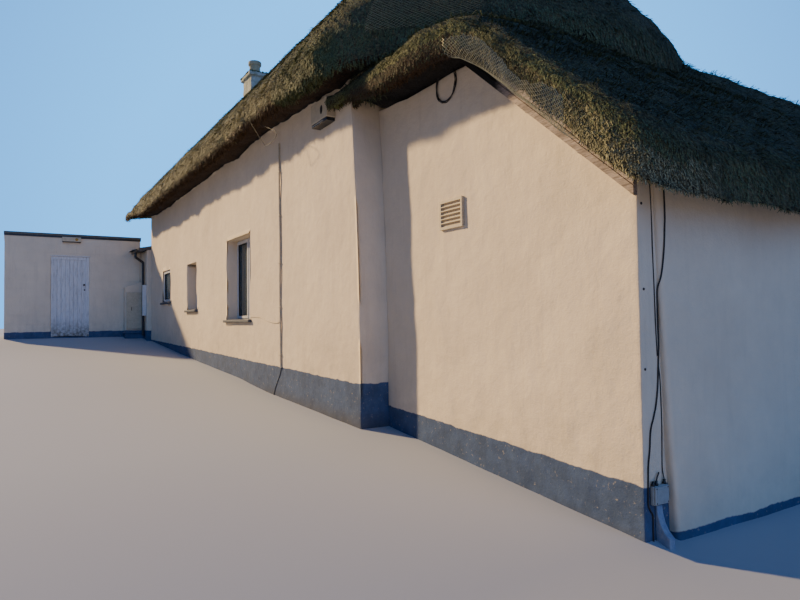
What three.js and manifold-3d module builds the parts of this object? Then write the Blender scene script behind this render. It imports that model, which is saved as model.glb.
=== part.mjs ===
// A thatched cottage with a lower east outshut, a link and a flat-roofed outhouse.
// Millimetres, +X east along the long front wall, +Y north into the building, +Z up.
// The origin is on the level base, 200 mm in from both outer faces of the near, south-east corner.

import * as THREE from "three";
import { mergeVertices } from "three/addons/utils/BufferGeometryUtils.js";
import Module from "manifold-3d";

const wasm = await Module();
wasm.setup();

// General
const GAP = 0.3; // between pieces that touch
const SKY = 9500; // above every roof
const BASE = 0; // level underside of every wall
const ROUND_SIDES = 12;

// Main range
const MAIN = { west: -14710, east: -3050, front: -540, rear: 4040, wall: 450, floor: 900 };
const FLOOR_THICK = 150;
const RIDGE = { y: 1750, top: 7720, eastEnd: -3965 };
const MAIN_LIP = { front: -1050, rear: 4550, top: 4530, bottom: 4170 };
const SOFFIT = { climb: 0.13 };
const EAVES_FALL = { by: 70, from: -4600, over: 1300 };
const EAVES_LIFT = { by: 170, from: -13200, over: 2000 };
const VERGE = { west: -15300, lean: 0.13 };
const HIP = { fall: 1.142, bow: 2.3e-4, foot: -1200, footBow: 2.42e-4 };
const THATCH = { rise: 924, blend: 110, nose: 210, noseUnder: 90 };
const NOSE_STEPS = [0, 30, 95, 210]; // distances in from a rounded edge that get a row
const MAIN_ROWS = 11;
const MAIN_COLUMNS = [-14300, -12600, -10300, -8000, -6000, -4900, -4300, -3950];
const HIP_SHARES = [0.2, 0.4, 0.6, 0.8]; // columns between the last of those and the hip's foot

// Outshut
const OUT = { west: -3050, east: 200, front: -200, rear: 6500, wall: 250, floor: 450 };
const OUT_EAST_FACE = 260;
const OUT_CREST = { top: 4640, y: 2900, sag: 4.67e-5, roll: 60, soffit: 3860, cover: 420, underMain: 4000 };
const OUT_SLOPE = { east: 560, top: 2690, fall: 0.834, rise: 420, west: -3410, westTop: 2845, nearMain: 3 };
const OUT_THATCH = { blend: 66, nose: 160, noseUnder: 50 };
const OUT_LIP = [[-3400, -700], [-1750, -700], [-1165, -571], [560, -420]];
const OUT_ENDS = { rear: 6850, tip: -3370, tipBefore: -500, westAfter: 4250 };
const OUT_CORNER = 350;
const LIP_HANG = [[-3100, -80], [-2500, 50], [-1400, 50], [-1100, -20], [-700, -20], [-400, 35]];
const OUT_ROWS = 10;
const RAKE = { apexX: -1640, apexZ: 3888, footX: 200, footZ: 2353, board: 38, tall: 900 };

// Windows of the main range: edges along X and Z, and the depth of the reveal
const WINDOWS = {
  large_window: { x0: -7890, x1: -6650, z0: 1600, z1: 2940, reveal: 190, mullion: 0.36 },
  middle_window: { x0: -10730, x1: -9960, z0: 1820, z1: 2770, reveal: 190, mullion: 0 },
  far_window: { x0: -13240, x1: -12390, z0: 2050, z1: 2800, reveal: 40, mullion: 0 },
};
const REAR_WINDOW = { x0: -7890, x1: -6650, z0: 1600, z1: 2940, reveal: 190, mullion: 0.36 };
const FRAME = { bar: 62, depth: 70, glass: 24, rebate: 12 };
const SILL = { thick: 45, ear: 60, nose: 55, slack: 10 };
const REAR_DOOR = { x0: -10500, x1: -9600, head: 2950, thick: 60, inset: 120 };
const INNER_DOORWAY = { y0: 1900, y1: 2750, head: 2950 };

// Chimney, down to the base as a breast inside the gable
const CHIMNEY = { x0: -14490, x1: -13770, y0: 1860, y1: 2310, top: 8380, cap: 60, capHigh: 110 };
const POT = { high: 400, foot: 165, neck: 148, rim: 182, bore: 120, rimHigh: 60 };

// Outhouse
const HOUSE = { front: -15480, rear: -18080, south: -3820, north: -680, wall: 215, top: 3820, floor: 1240 };
const HOUSE_ROOF = { thick: 58, lap: 15 };
const DOOR = { y0: -2771, y1: -2009, z0: 1252, z1: 3233, thick: 40, outer: -15520 };
const DOOR_FRAME = { y0: -2807, y1: -1938, z1: 3300, outer: -15500, clear: 7, stop: 14, stopLap: 12 };
const HINGE = { back: 15, eye: 12, pin: 6, run: 0.3 };
const STRAP = { thick: 5, start: 9, long: 380, wide: 42, lift: 6, tongue: 14 };
const BRACKET = { half: 6, bed: 2, back: 11, top: -20, deep: 20, pinTop: 40 };
const HINGES = { outhouse_door_lower_hinge: 1560, outhouse_door_upper_hinge: 2900 };
const KNOB = { y: -2051, z: 2576 };
// Radius and distance from the leaf along the knob: rose, neck and ball
const KNOB_OUTLINE = [[0, 0], [24, 0], [24, 6], [10, 9], [10, 26], [24, 38], [24, 50], [14, 60], [0, 60]];
const DOOR_BOX = { y0: -2567, y1: -2130, z0: 3664, z1: 3796, deep: 70 };

// Link between the outhouse and the main range
const LINK = { front: -650, rear: 1950, wall: 150, eaves: 3430, lean: 0.2, roof: 90, lip: -860 };
const GUTTER = { x0: -15450, y: -915, wide: 55, deep: 62, drop: 20, skin: 6, outlet: 28 };
const DOWNPIPE = { x: -14960, y: -702, r: 34, foot: 1240, neck: 120, swan: 240, lap: 10 };
const CUPBOARD = { y0: -1110, deep: 330, z0: 1340, low: 2520, high: 2690, ledge: 40, ledgeHigh: 45 };
const PIPE_BOX = { x0: -14870, x1: -14760, deep: 90, z0: 1760, z1: 2560 };

// Small fittings
const VENT = { x0: -2010, x1: -1660, z0: 2400, z1: 2674, deep: 26, rim: 22, back: 6, blades: 6, blade: 5 };
const EAVES_BOX = { x0: -4020, x1: -3580, z0: 3835, z1: 4110, deep: 120, chamfer: 35 };
const CONDUIT = { x: -5340, y: -553.3, r: 13, z0: 930, z1: 4050 };
const JUNCTION = { y0: -146, y1: -2, z0: 342, z1: 466, deep: 42 };
const DUCT = { y0: -100, y1: -44, z0: 20, z1: 334 };
const DUCT_CURVE = [[306, 140], [268, 175], [240, 220], [222, 280], [216, DUCT.z1]];

const COLOURS = {
  render: ["#e2c79c", 0.95], thatch: ["#4a4a2c", 1.0], slate: ["#4c5058", 0.7],
  upvc: ["#e9ebea", 0.35], glass: ["#30383c", 0.08], planks: ["#c9c8c4", 0.85], brick: ["#9c8468", 0.95],
  iron: ["#2b2725", 0.7], screed: ["#8d8a83", 0.9], felt: ["#6e6c66", 0.95], board: ["#97938c", 0.85],
  grey_box: ["#a9adac", 0.5], clay: ["#a98a6a", 0.9],
  blue_duct: ["#7d94b5", 0.5], cream_box: ["#d8c79a", 0.5],
};

const cottage = new THREE.Group();

// Solids

function solidOf(geometry) {
  geometry.deleteAttribute("normal");
  geometry.deleteAttribute("uv");
  const merged = mergeVertices(geometry, 1e-3);
  const vertProperties = new Float32Array(merged.attributes.position.array);
  const triVerts = new Uint32Array(merged.index.array);
  return new wasm.Manifold(new wasm.Mesh({ numProp: 3, vertProperties, triVerts }));
}

function block(x0, x1, y0, y1, z0, z1) {
  const box = new THREE.BoxGeometry(x1 - x0, y1 - y0, z1 - z0);
  return solidOf(box.translate((x0 + x1) / 2, (y0 + y1) / 2, (z0 + z1) / 2));
}

// An outline in two axes pushed along the third, from low to high
function prism(points, low, high, along) {
  const shape = new THREE.Shape(points.map(([a, b]) => new THREE.Vector2(a, b)));
  const body = new THREE.ExtrudeGeometry(shape, { depth: high - low, bevelEnabled: false });
  body.translate(0, 0, low);
  if (along === "y") {
    body.rotateX(Math.PI / 2).scale(1, -1, 1);
  } else if (along === "x") {
    body.rotateX(Math.PI / 2).rotateZ(Math.PI / 2);
  }
  return along === "y" ? flipped(body) : solidOf(body);
}

function flipped(geometry) {
  geometry.deleteAttribute("normal");
  geometry.deleteAttribute("uv");
  const merged = mergeVertices(geometry, 1e-3);
  const index = merged.index.array;
  for (let i = 0; i < index.length; i += 3) {
    [index[i], index[i + 1]] = [index[i + 1], index[i]];
  }
  return solidOf(merged);
}

// A solid of revolution about a vertical line
function turned(profile, x, y, sides = ROUND_SIDES) {
  const points = profile.map(([r, z]) => new THREE.Vector2(r, z));
  const body = new THREE.LatheGeometry(points, sides);
  body.rotateX(Math.PI / 2).translate(x, y, 0);
  return solidOf(body);
}

function post(x, y, r, z0, z1, sides = ROUND_SIDES) {
  return turned([[0, z0], [r, z0], [r, z1], [0, z1]], x, y, sides);
}

function largest(solid) {
  const pieces = solid.decompose();
  return pieces.reduce((best, one) => (one.volume() > best.volume() ? one : best));
}

function add(name, solid, finish) {
  const mesh = solid.getMesh();
  const geometry = new THREE.BufferGeometry();
  geometry.setAttribute("position", new THREE.BufferAttribute(new Float32Array(mesh.vertProperties), 3));
  geometry.setIndex(new THREE.BufferAttribute(new Uint32Array(mesh.triVerts), 1));
  geometry.computeVertexNormals();
  const [color, roughness] = COLOURS[finish];
  const node = new THREE.Mesh(geometry, new THREE.MeshStandardMaterial({ color, roughness, metalness: 0 }));
  node.name = name;
  cottage.add(node);
}

// Roof surfaces as heights over the plan

// The lowest of several heights, rounded where two of them meet
function softLowest(heights, blend) {
  const low = Math.min(...heights);
  return low - blend * Math.log(heights.reduce((sum, h) => sum + Math.exp((low - h) / blend), 0));
}

function clamp(value, low, high) {
  return Math.min(high, Math.max(low, value));
}

// How far a quarter round of the given radius has fallen, at a distance in from its edge
function roundFall(inward, radius) {
  const t = clamp(1 - inward / radius, 0, 1);
  return radius * (1 - Math.sqrt(1 - t * t));
}

// Lower edge of the main eaves
function lipBottom(x) {
  const fall = EAVES_FALL.by * clamp((x - EAVES_FALL.from) / EAVES_FALL.over, 0, 1);
  const lift = EAVES_LIFT.by * clamp((EAVES_LIFT.from - x) / EAVES_LIFT.over, 0, 1);
  return MAIN_LIP.bottom - fall + lift;
}

function mainPlanes(x, y, drop) {
  const pitch = (RIDGE.top - MAIN_LIP.top) / (RIDGE.y - MAIN_LIP.front);
  const front = MAIN_LIP.top + pitch * (y - MAIN_LIP.front);
  const rear = MAIN_LIP.top + pitch * (MAIN_LIP.rear - y);
  const hip = RIDGE.top - HIP.fall * (x - RIDGE.eastEnd + HIP.bow * (y - RIDGE.y) ** 2);
  return softLowest([front, rear, hip], THATCH.blend) - drop;
}

const vergeX = (y) => VERGE.west - VERGE.lean * (RIDGE.y - MAIN_LIP.front - Math.abs(y - RIDGE.y));

// Where the hip ends over the lower roof
const hipFoot = (y) => HIP.foot - HIP.footBow * (y - RIDGE.y) ** 2;

function mainInward(x, y) {
  return Math.min(y - MAIN_LIP.front, MAIN_LIP.rear - y, x - vergeX(y), hipFoot(y) - x);
}

function mainTop(x, y) {
  return mainPlanes(x, y, 0) - roundFall(mainInward(x, y), THATCH.nose);
}

function mainUnder(x, y) {
  const overOutshut = x > OUT.west - 100 && y > OUT.front - OUT.wall;
  const eaves = lipBottom(x) + SOFFIT.climb * Math.min(y - MAIN_LIP.front, MAIN_LIP.rear - y);
  const soffit = overOutshut ? OUT_CREST.underMain : eaves;
  return Math.max(mainPlanes(x, y, THATCH.rise), soffit) + roundFall(mainInward(x, y), THATCH.noseUnder);
}

const crestTop = (y) => OUT_CREST.top - OUT_CREST.sag * (y - OUT_CREST.y) ** 2;

// The height of a line through places, held level beyond its ends
function along(places, x) {
  const after = places.findIndex(([at]) => x <= at);
  if (after <= 0) {
    return after ? places.at(-1)[1] : places[0][1];
  }
  const [[xa, ya], [xb, yb]] = [places[after - 1], places[after]];
  return ya + ((yb - ya) * (x - xa)) / (xb - xa);
}

const outLipY = (x) => along(OUT_LIP, x);

function outInward(x, y) {
  const openWest = y > OUT_ENDS.westAfter ? x - OUT_SLOPE.west : SKY;
  const openTip = y < OUT_ENDS.tipBefore ? x - OUT_ENDS.tip : SKY;
  const [front, east] = [y - outLipY(x), OUT_SLOPE.east - x];
  const corner = OUT_CORNER - Math.hypot(Math.max(OUT_CORNER - front, 0), Math.max(OUT_CORNER - east, 0));
  return Math.min(front, OUT_ENDS.rear - y, east, corner, openWest, openTip);
}

function outPlanes(x, y, crest, drop) {
  const east = OUT_SLOPE.top - drop + OUT_SLOPE.fall * (OUT_SLOPE.east - x);
  const nearMain = OUT_SLOPE.nearMain * Math.max(0, MAIN_LIP.rear - y);
  const west = OUT_SLOPE.westTop - drop + OUT_SLOPE.fall * (x - OUT_SLOPE.west) + nearMain;
  return softLowest([crest, east, west], OUT_THATCH.blend);
}

function outTop(x, y) {
  return outPlanes(x, y, crestTop(y) + OUT_CREST.roll, 0) - roundFall(outInward(x, y), OUT_THATCH.nose);
}

function outUnder(x, y) {
  const crest = Math.max(OUT_CREST.soffit, crestTop(y) - OUT_CREST.cover);
  const reach = Math.max(OUT.front - outLipY(x), 1);
  const lip = along(LIP_HANG, x) * clamp((OUT.front - y) / reach, 0, 1);
  return outPlanes(x, y, crest, OUT_SLOPE.rise) - lip + roundFall(outInward(x, y), OUT_THATCH.noseUnder);
}

// A closed coat between two heights over a plan of columns, each with its own rows
function coat(columns, top, under) {
  const rows = columns[0].length;
  const positions = [];
  const place = (x, y, z) => positions.push(x, y, z);
  columns.forEach((column) => column.forEach(([x, y]) => place(x, y, top(x, y))));
  columns.forEach((column) => column.forEach(([x, y]) => place(x, y, under(x, y))));
  const lower = columns.length * rows;
  const at = (i, j) => i * rows + j;
  const index = [];
  const quad = (a, b, c, d) => index.push(a, b, c, a, c, d);
  for (let i = 0; i + 1 < columns.length; i += 1) {
    for (let j = 0; j + 1 < rows; j += 1) {
      quad(at(i, j), at(i + 1, j), at(i + 1, j + 1), at(i, j + 1));
      quad(lower + at(i, j), lower + at(i, j + 1), lower + at(i + 1, j + 1), lower + at(i + 1, j));
    }
  }
  for (let i = 0; i + 1 < columns.length; i += 1) {
    const [a, b, far] = [at(i, 0), at(i + 1, 0), rows - 1];
    quad(lower + a, lower + b, b, a);
    quad(a + far, b + far, lower + b + far, lower + a + far);
  }
  for (let j = 0; j + 1 < rows; j += 1) {
    const last = at(columns.length - 1, 0);
    quad(lower + j + 1, lower + j, j, j + 1);
    quad(last + j, lower + last + j, lower + last + j + 1, last + j + 1);
  }
  const geometry = new THREE.BufferGeometry();
  geometry.setAttribute("position", new THREE.Float32BufferAttribute(positions, 3));
  geometry.setIndex(index);
  return solidOf(geometry);
}

// Places from low to high: close together down a rounded edge at each end, even between
function stations(low, high, count) {
  const from = NOSE_STEPS.map((d) => low + d);
  const to = NOSE_STEPS.map((d) => high - d).reverse();
  const [a, b] = [from.at(-1), to[0]];
  const middle = Array.from({ length: count }, (_, i) => a + ((b - a) * (i + 1)) / (count + 1));
  return [...from, ...middle, ...to];
}

function mainColumns() {
  const ys = stations(MAIN_LIP.front, MAIN_LIP.rear, MAIN_ROWS);
  const column = (xOf) => ys.map((y) => [xOf(y), y]);
  const last = MAIN_COLUMNS.at(-1);
  const nose = NOSE_STEPS.at(-1);
  return [
    ...NOSE_STEPS.map((d) => column((y) => vergeX(y) + d)),
    ...MAIN_COLUMNS.map((x) => column(() => x)),
    ...HIP_SHARES.map((t) => column((y) => last + t * (hipFoot(y) - nose - last))),
    ...NOSE_STEPS.toReversed().map((d) => column((y) => hipFoot(y) - d)),
  ];
}

// Draws a place of the low coat's plan in round its near corner
function roundCorner([x, y]) {
  const [east, front] = [OUT_SLOPE.east - x, y - outLipY(x)].map((d) => Math.max(1 - d / OUT_CORNER, 0));
  const inward = (a, b) => OUT_CORNER * a * (1 - Math.sqrt(1 - (b * b) / 2));
  return [x - inward(east, front), y + inward(front, east)];
}

function outColumns() {
  const xs = stations(OUT_SLOPE.west, OUT_SLOPE.east, OUT_ROWS);
  return xs.map((x) => stations(outLipY(x), OUT_ENDS.rear, OUT_ROWS).map((y) => roundCorner([x, y])));
}

// A solid joined with copies of itself a little way off in six directions
function swollen(solid, by) {
  const ways = [[by, 0, 0], [-by, 0, 0], [0, by, 0], [0, -by, 0], [0, 0, by], [0, 0, -by]];
  return ways.reduce((sum, way) => sum.add(solid.translate(way)), solid);
}

const lowered = (height) => (x, y) => height(x, y) - GAP;
const mainCoat = coat(mainColumns(), mainTop, mainUnder);
const outCoat = coat(outColumns(), outTop, outUnder);
const mainSpace = swollen(mainCoat, 0.7);
const aboveMain = coat(mainColumns(), () => SKY, lowered(mainUnder));
const aboveOut = coat(outColumns(), () => SKY, lowered(outUnder));

// Main range

function stackSpace(by) {
  const c = CHIMNEY;
  return block(c.x0 - by, c.x1 + by, c.y0 - by, c.y1 + by, BASE - 1, SKY);
}

// A wall built up to the sky, cut off along the underside of the thatch
function underMain(wall) {
  return largest(wall.subtract(aboveMain));
}

function underBoth(wall) {
  return largest(wall.subtract(aboveMain).subtract(aboveOut));
}

function buildMainWalls() {
  const m = MAIN;
  const [x0, x1] = [m.west, m.east];
  const frontOpenings = Object.values(WINDOWS).map((w) => windowSpace(w, m.front, m.front + m.wall, 1));
  const front = block(x0, x1, m.front, m.front + m.wall, BASE, SKY);
  add("front_wall", underMain(wasm.Manifold.difference([front, ...frontOpenings])), "render");
  const d = REAR_DOOR;
  const doorSpace = block(d.x0, d.x1, m.rear - m.wall - 1, m.rear + 1, m.floor + GAP, d.head);
  const rear = block(x0, x1, m.rear - m.wall, m.rear, BASE, SKY);
  const rearHoles = doorSpace.add(windowSpace(REAR_WINDOW, m.rear, m.rear - m.wall, -1));
  add("rear_wall", underMain(rear.subtract(rearHoles)), "render");
  const [y0, y1] = [m.front + m.wall + GAP, m.rear - m.wall - GAP];
  const gable = block(x0, x0 + m.wall, y0, y1, BASE, SKY).subtract(stackSpace(GAP));
  add("west_gable_wall", underMain(gable), "render");
  const w = INNER_DOORWAY;
  const doorway = block(x1 - m.wall - 1, x1 + 1, w.y0, w.y1, m.floor, w.head);
  add("east_end_wall", underMain(block(x1 - m.wall, x1, y0, y1, BASE, SKY).subtract(doorway)), "render");
  const floor = block(x0 + m.wall + GAP, x1 - m.wall - GAP, y0, y1, m.floor - FLOOR_THICK, m.floor);
  add("main_floor", floor.subtract(stackSpace(GAP)), "screed");
}

// A window's hole through a wall with the bed of its sill
function windowSpace(w, outer, inner, inward) {
  const hole = block(w.x0, w.x1, Math.min(outer, inner) - 1, Math.max(outer, inner) + 1, w.z0, w.z1);
  return hole.add(sillSpace(w, outer, inward));
}

// The bed of a slate sill, which reaches back under the window frame
function sillSpace(w, face, inward) {
  const back = face + inward * (w.reveal + FRAME.depth + GAP);
  const front = face - inward * SILL.slack;
  const ear = SILL.ear + GAP;
  const [y0, y1] = [Math.min(front, back), Math.max(front, back)];
  return block(w.x0 - ear, w.x1 + ear, y0, y1, w.z0 - SILL.thick - GAP, w.z0 + GAP);
}

function buildWindow(name, w, face, inward) {
  const yFront = face + inward * w.reveal;
  const yBack = yFront + inward * FRAME.depth;
  const span = (a, b) => [Math.min(a, b), Math.max(a, b)];
  const [y0, y1] = span(yFront, yBack);
  const [x0, x1, z0, z1] = [w.x0 + GAP, w.x1 - GAP, w.z0 + GAP, w.z1 - GAP];
  let frame = block(x0, x1, y0, y1, z0, z1);
  const split = w.x1 - (w.x1 - w.x0) * w.mullion;
  const lights = w.mullion ? [[x0, split], [split, x1]] : [[x0, x1]];
  lights.forEach(([a, b]) => {
    const bar = FRAME.bar;
    const left = a === x0 ? a + bar : a + bar / 2;
    const right = b === x1 ? b - bar : b - bar / 2;
    frame = frame.subtract(block(left, right, y0 - 1, y1 + 1, z0 + bar, z1 - bar));
  });
  const mid = (y0 + y1) / 2;
  const half = FRAME.glass / 2;
  const inset = FRAME.bar - FRAME.rebate;
  const pane = block(x0 + inset, x1 - inset, mid - half, mid + half, z0 + inset, z1 - inset);
  const [edge, room] = [inset - GAP, half + GAP];
  const rebate = block(x0 + edge, x1 - edge, mid - room, mid + room, z0 + edge, z1 - edge);
  add(`${name}_frame`, frame.subtract(rebate), "upvc");
  add(`${name}_glass`, pane, "glass");
  const nose = face - inward * SILL.nose;
  const [s0, s1] = span(nose, yBack);
  add(`${name}_sill`, block(w.x0 - SILL.ear, w.x1 + SILL.ear, s0, s1, w.z0 - SILL.thick, w.z0), "slate");
}

function buildRearDoor() {
  const d = REAR_DOOR;
  const y1 = MAIN.rear - d.inset;
  const leaf = block(d.x0 + GAP, d.x1 - GAP, y1 - d.thick, y1, MAIN.floor + 2 * GAP, d.head - GAP);
  add("rear_door", leaf, "planks");
}

function buildChimney() {
  const c = CHIMNEY;
  const shaft = block(c.x0, c.x1, c.y0, c.y1, BASE, c.top);
  const cap = block(c.x0 - c.cap, c.x1 + c.cap, c.y0 - c.cap, c.y1 + c.cap, c.top - c.capHigh, c.top);
  add("chimney_stack", shaft.add(cap), "brick");
  const [x, y, z] = [(c.x0 + c.x1) / 2, (c.y0 + c.y1) / 2, c.top + GAP];
  const profile = [[POT.bore, z], [POT.foot, z], [POT.neck, z + POT.high - 2 * POT.rimHigh],
    [POT.rim, z + POT.high - POT.rimHigh], [POT.rim, z + POT.high], [POT.bore, z + POT.high], [POT.bore, z]];
  add("chimney_pot", turned(profile, x, y, 16), "clay");
}

// Outshut

function buildOutshutWalls() {
  const o = OUT;
  const front = block(o.west + GAP, o.east, o.front, o.front + o.wall, BASE, SKY);
  add("outshut_front_wall", underBoth(front), "render");
  const inner = OUT_EAST_FACE - o.wall;
  const y0 = o.front + o.wall + GAP;
  add("outshut_east_wall", underBoth(block(inner, OUT_EAST_FACE, y0, o.rear, BASE, SKY)), "render");
  const rear = block(o.west, inner - GAP, o.rear - o.wall, o.rear, BASE, SKY);
  add("outshut_rear_wall", underBoth(rear), "render");
  const west = block(o.west, o.west + o.wall, MAIN.rear + GAP, o.rear - o.wall - GAP, BASE, SKY);
  add("outshut_west_wall", underBoth(west), "render");
  const near = block(o.west + GAP, inner - GAP, y0, MAIN.rear, o.floor - FLOOR_THICK, o.floor);
  const west1 = o.west + o.wall + GAP;
  const far = block(west1, inner - GAP, y0, o.rear - o.wall - GAP, o.floor - FLOOR_THICK, o.floor);
  add("outshut_floor", near.add(far), "screed");
}

function buildRakeBoards() {
  const r = RAKE;
  const face = OUT.front - GAP;
  const [foot, apex] = [[r.footX, r.footZ], [r.apexX, r.apexZ]];
  const outline = [apex, foot, [r.footX, r.footZ + r.tall], [r.apexX, r.apexZ + r.tall]];
  const board = prism(outline, face - r.board, face, "y");
  add("rake_boards", largest(board.subtract(aboveOut)), "board");
}

// Outhouse

function buildOuthouseWalls() {
  const h = HOUSE;
  const inner = h.front - h.wall;
  const f = DOOR_FRAME;
  add("outhouse_front_left", block(inner, h.front, h.south, f.y0 - GAP, BASE, h.top), "render");
  add("outhouse_front_right", block(inner, h.front, f.y1 + GAP, h.north, BASE, h.top), "render");
  add("outhouse_front_head", block(inner, h.front, f.y0, f.y1, f.z1 + GAP, h.top), "render");
  add("outhouse_door_step", block(inner, h.front, f.y0, f.y1, BASE, h.floor), "render");
  const rearIn = h.rear + h.wall;
  add("outhouse_rear_wall", block(h.rear, rearIn, h.south, h.north, BASE, h.top), "render");
  const [x0, x1] = [rearIn + GAP, inner - GAP];
  add("outhouse_south_wall", block(x0, x1, h.south, h.south + h.wall, BASE, h.top), "render");
  add("outhouse_north_wall", block(x0, x1, h.north - h.wall, h.north, BASE, h.top), "render");
  const [y0, y1] = [h.south + h.wall + GAP, h.north - h.wall - GAP];
  add("outhouse_floor", block(x0, x1, y0, y1, h.floor - FLOOR_THICK, h.floor), "screed");
  const lap = HOUSE_ROOF.lap;
  const z = h.top + GAP;
  const roof = block(h.rear - lap, h.front + lap, h.south - lap, h.north + lap, z, z + HOUSE_ROOF.thick);
  add("outhouse_roof", roof, "felt");
}

function hingeAxis() {
  return [DOOR.outer - DOOR.thick - HINGE.back, DOOR.y0 - DOOR_FRAME.clear];
}

// Jambs and head with stops on the outer side, and two pins that the leaf hangs on
function buildDoorFrame() {
  const f = DOOR_FRAME;
  const inner = DOOR.outer - DOOR.thick;
  const base = HOUSE.floor + GAP;
  const hole = (side, x0, x1) => block(x0, x1, DOOR.y0 - side, DOOR.y1 + side, base - 1, DOOR.z1 + side);
  let frame = block(inner, f.outer, f.y0, f.y1, base, f.z1);
  frame = frame.subtract(hole(f.clear, inner - 1, f.outer - f.stop));
  frame = frame.subtract(hole(-f.stopLap, f.outer - f.stop - 1, f.outer + 1));
  const [px, py] = hingeAxis();
  const b = BRACKET;
  Object.values(HINGES).forEach((z) => {
    const [low, high] = [z + b.top - b.deep, z + b.top];
    const plate = block(px - b.half, inner + 1, f.y0 + b.bed, py - b.back, low, high);
    const arm = block(px - b.half, px + b.half, f.y0 + b.bed, py + b.half, low, high);
    frame = frame.add(plate).add(arm).add(post(px, py, HINGE.pin, low + b.half, z + b.pinTop));
  });
  add("outhouse_door_frame", frame, "planks");
}

// A strap across the leaf's inner side with an eye that turns on the frame's pin
function hingeStrap(z, back) {
  const [h, s] = [HINGE, STRAP];
  const [px, py] = hingeAxis();
  const [low, high] = [z + s.lift - s.wide / 2, z + s.lift + s.wide / 2];
  const strap = block(back - s.thick, back, py + s.start, py + s.long, low, high);
  const tongue = block(px + h.eye - 3, px + h.eye, py, py + s.tongue, low, high);
  const eye = post(px, py, h.eye, low, high, 24);
  const bore = post(px, py, h.pin + h.run, low - 1, high + 1, 24);
  return strap.add(tongue).add(eye).subtract(bore);
}

function buildDoor() {
  const d = DOOR;
  const inner = d.outer - d.thick;
  add("outhouse_door", block(inner, d.outer, d.y0, d.y1, d.z0, d.z1), "planks");
  Object.entries(HINGES).forEach(([name, z]) => add(name, hingeStrap(z, inner - GAP), "iron"));
  const outline = KNOB_OUTLINE.map(([r, z]) => new THREE.Vector2(r, z));
  const knob = new THREE.LatheGeometry(outline, ROUND_SIDES);
  knob.rotateZ(-Math.PI / 2).translate(d.outer + GAP, KNOB.y, KNOB.z);
  add("outhouse_door_knob", solidOf(knob), "iron");
  const b = DOOR_BOX;
  add("over_door_box", block(HOUSE.front + GAP, HOUSE.front + b.deep, b.y0, b.y1, b.z0, b.z1), "cream_box");
}

// Link

function buildLink() {
  const l = LINK;
  const [x0, x1] = [HOUSE.front + GAP, MAIN.west - GAP];
  const slope = (y) => l.eaves + l.lean * (y - l.lip);
  const roofLine = (y0, y1, low, high) => [[y0, low(y0)], [y1, low(y1)], [y1, high(y1)], [y0, high(y0)]];
  const wallTop = (y) => slope(y) - GAP;
  const front = roofLine(l.front, l.front + l.wall, () => BASE, wallTop);
  add("link_front_wall", prism(front, x0, x1, "x"), "render");
  const rear = roofLine(l.rear - l.wall, l.rear, () => BASE, wallTop);
  add("link_rear_wall", prism(rear, x0, x1, "x"), "render");
  const west = roofLine(HOUSE.north + GAP, l.rear, () => BASE, wallTop);
  add("link_west_wall", prism(west, HOUSE.front - HOUSE.wall, HOUSE.front, "x"), "render");
  const roof = roofLine(l.lip, l.rear + 60, slope, (y) => slope(y) + l.roof);
  const overWest = HOUSE.front - HOUSE.wall;
  const cover = prism(roof, overWest, x1, "x").subtract(block(overWest - 1, HOUSE.front + 15 + GAP,
    HOUSE.south, HOUSE.north + 15 + GAP, BASE, SKY));
  add("link_roof", cover, "slate");
  const g = GUTTER;
  const [gy, gz] = [g.y + g.wide - GAP, l.eaves - g.drop];
  const trough = block(g.x0 + g.skin, x1 - g.skin, g.y + g.skin, gy - g.skin, gz + g.skin, SKY);
  add("link_gutter", block(g.x0, x1, g.y, gy, gz, gz + g.deep).subtract(trough), "iron");
  buildLinkFittings(x1);
}

function buildLinkFittings(x1) {
  const p = DOWNPIPE;
  const pipeTop = LINK.eaves - GUTTER.drop - GAP;
  const outletY = GUTTER.y + GUTTER.outlet;
  const neck = post(p.x, outletY, p.r, pipeTop - p.neck, pipeTop, 8);
  const shaft = post(p.x, p.y, p.r, p.foot, pipeTop - p.swan, 8);
  const bend = sweep([[p.x, outletY, pipeTop - p.neck + p.lap], [p.x, p.y, pipeTop - p.swan - p.lap]], p.r);
  add("link_downpipe", neck.add(bend).add(shaft), "iron");
  const b = PIPE_BOX;
  add("link_pipe_box", block(b.x0, b.x1, LINK.front - GAP - b.deep, LINK.front - GAP, b.z0, b.z1), "upvc");
  const c = CUPBOARD;
  const [y0, y1] = [c.y0, LINK.front - 2 * GAP];
  const outline = [[y0, c.z0], [y1, c.z0], [y1, c.high], [y0, c.low]];
  const [wall, outer] = [HOUSE.front + GAP, HOUSE.front + c.deep];
  const ledge = block(wall, outer + c.ledge, y0 - c.ledge, y1, c.z0 - c.ledgeHigh, c.z0);
  const foot = block(wall, outer, y0, y1, BASE, c.z0 - c.ledgeHigh + 1);
  add("store_cupboard", prism(outline, wall, outer, "x").add(ledge).add(foot), "render");
}

// A round bar along straight runs between points
function sweep(points, r) {
  const path = new THREE.LineCurve3(...points.map((p) => new THREE.Vector3(...p)));
  const ring = Array.from({ length: 8 }, (_, i) => {
    const a = (i * Math.PI) / 4;
    return new THREE.Vector2(r * Math.cos(a), r * Math.sin(a));
  });
  const body = new THREE.ExtrudeGeometry(new THREE.Shape(ring), { steps: 1, extrudePath: path });
  return solidOf(body);
}

// Fittings on the walls

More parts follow.
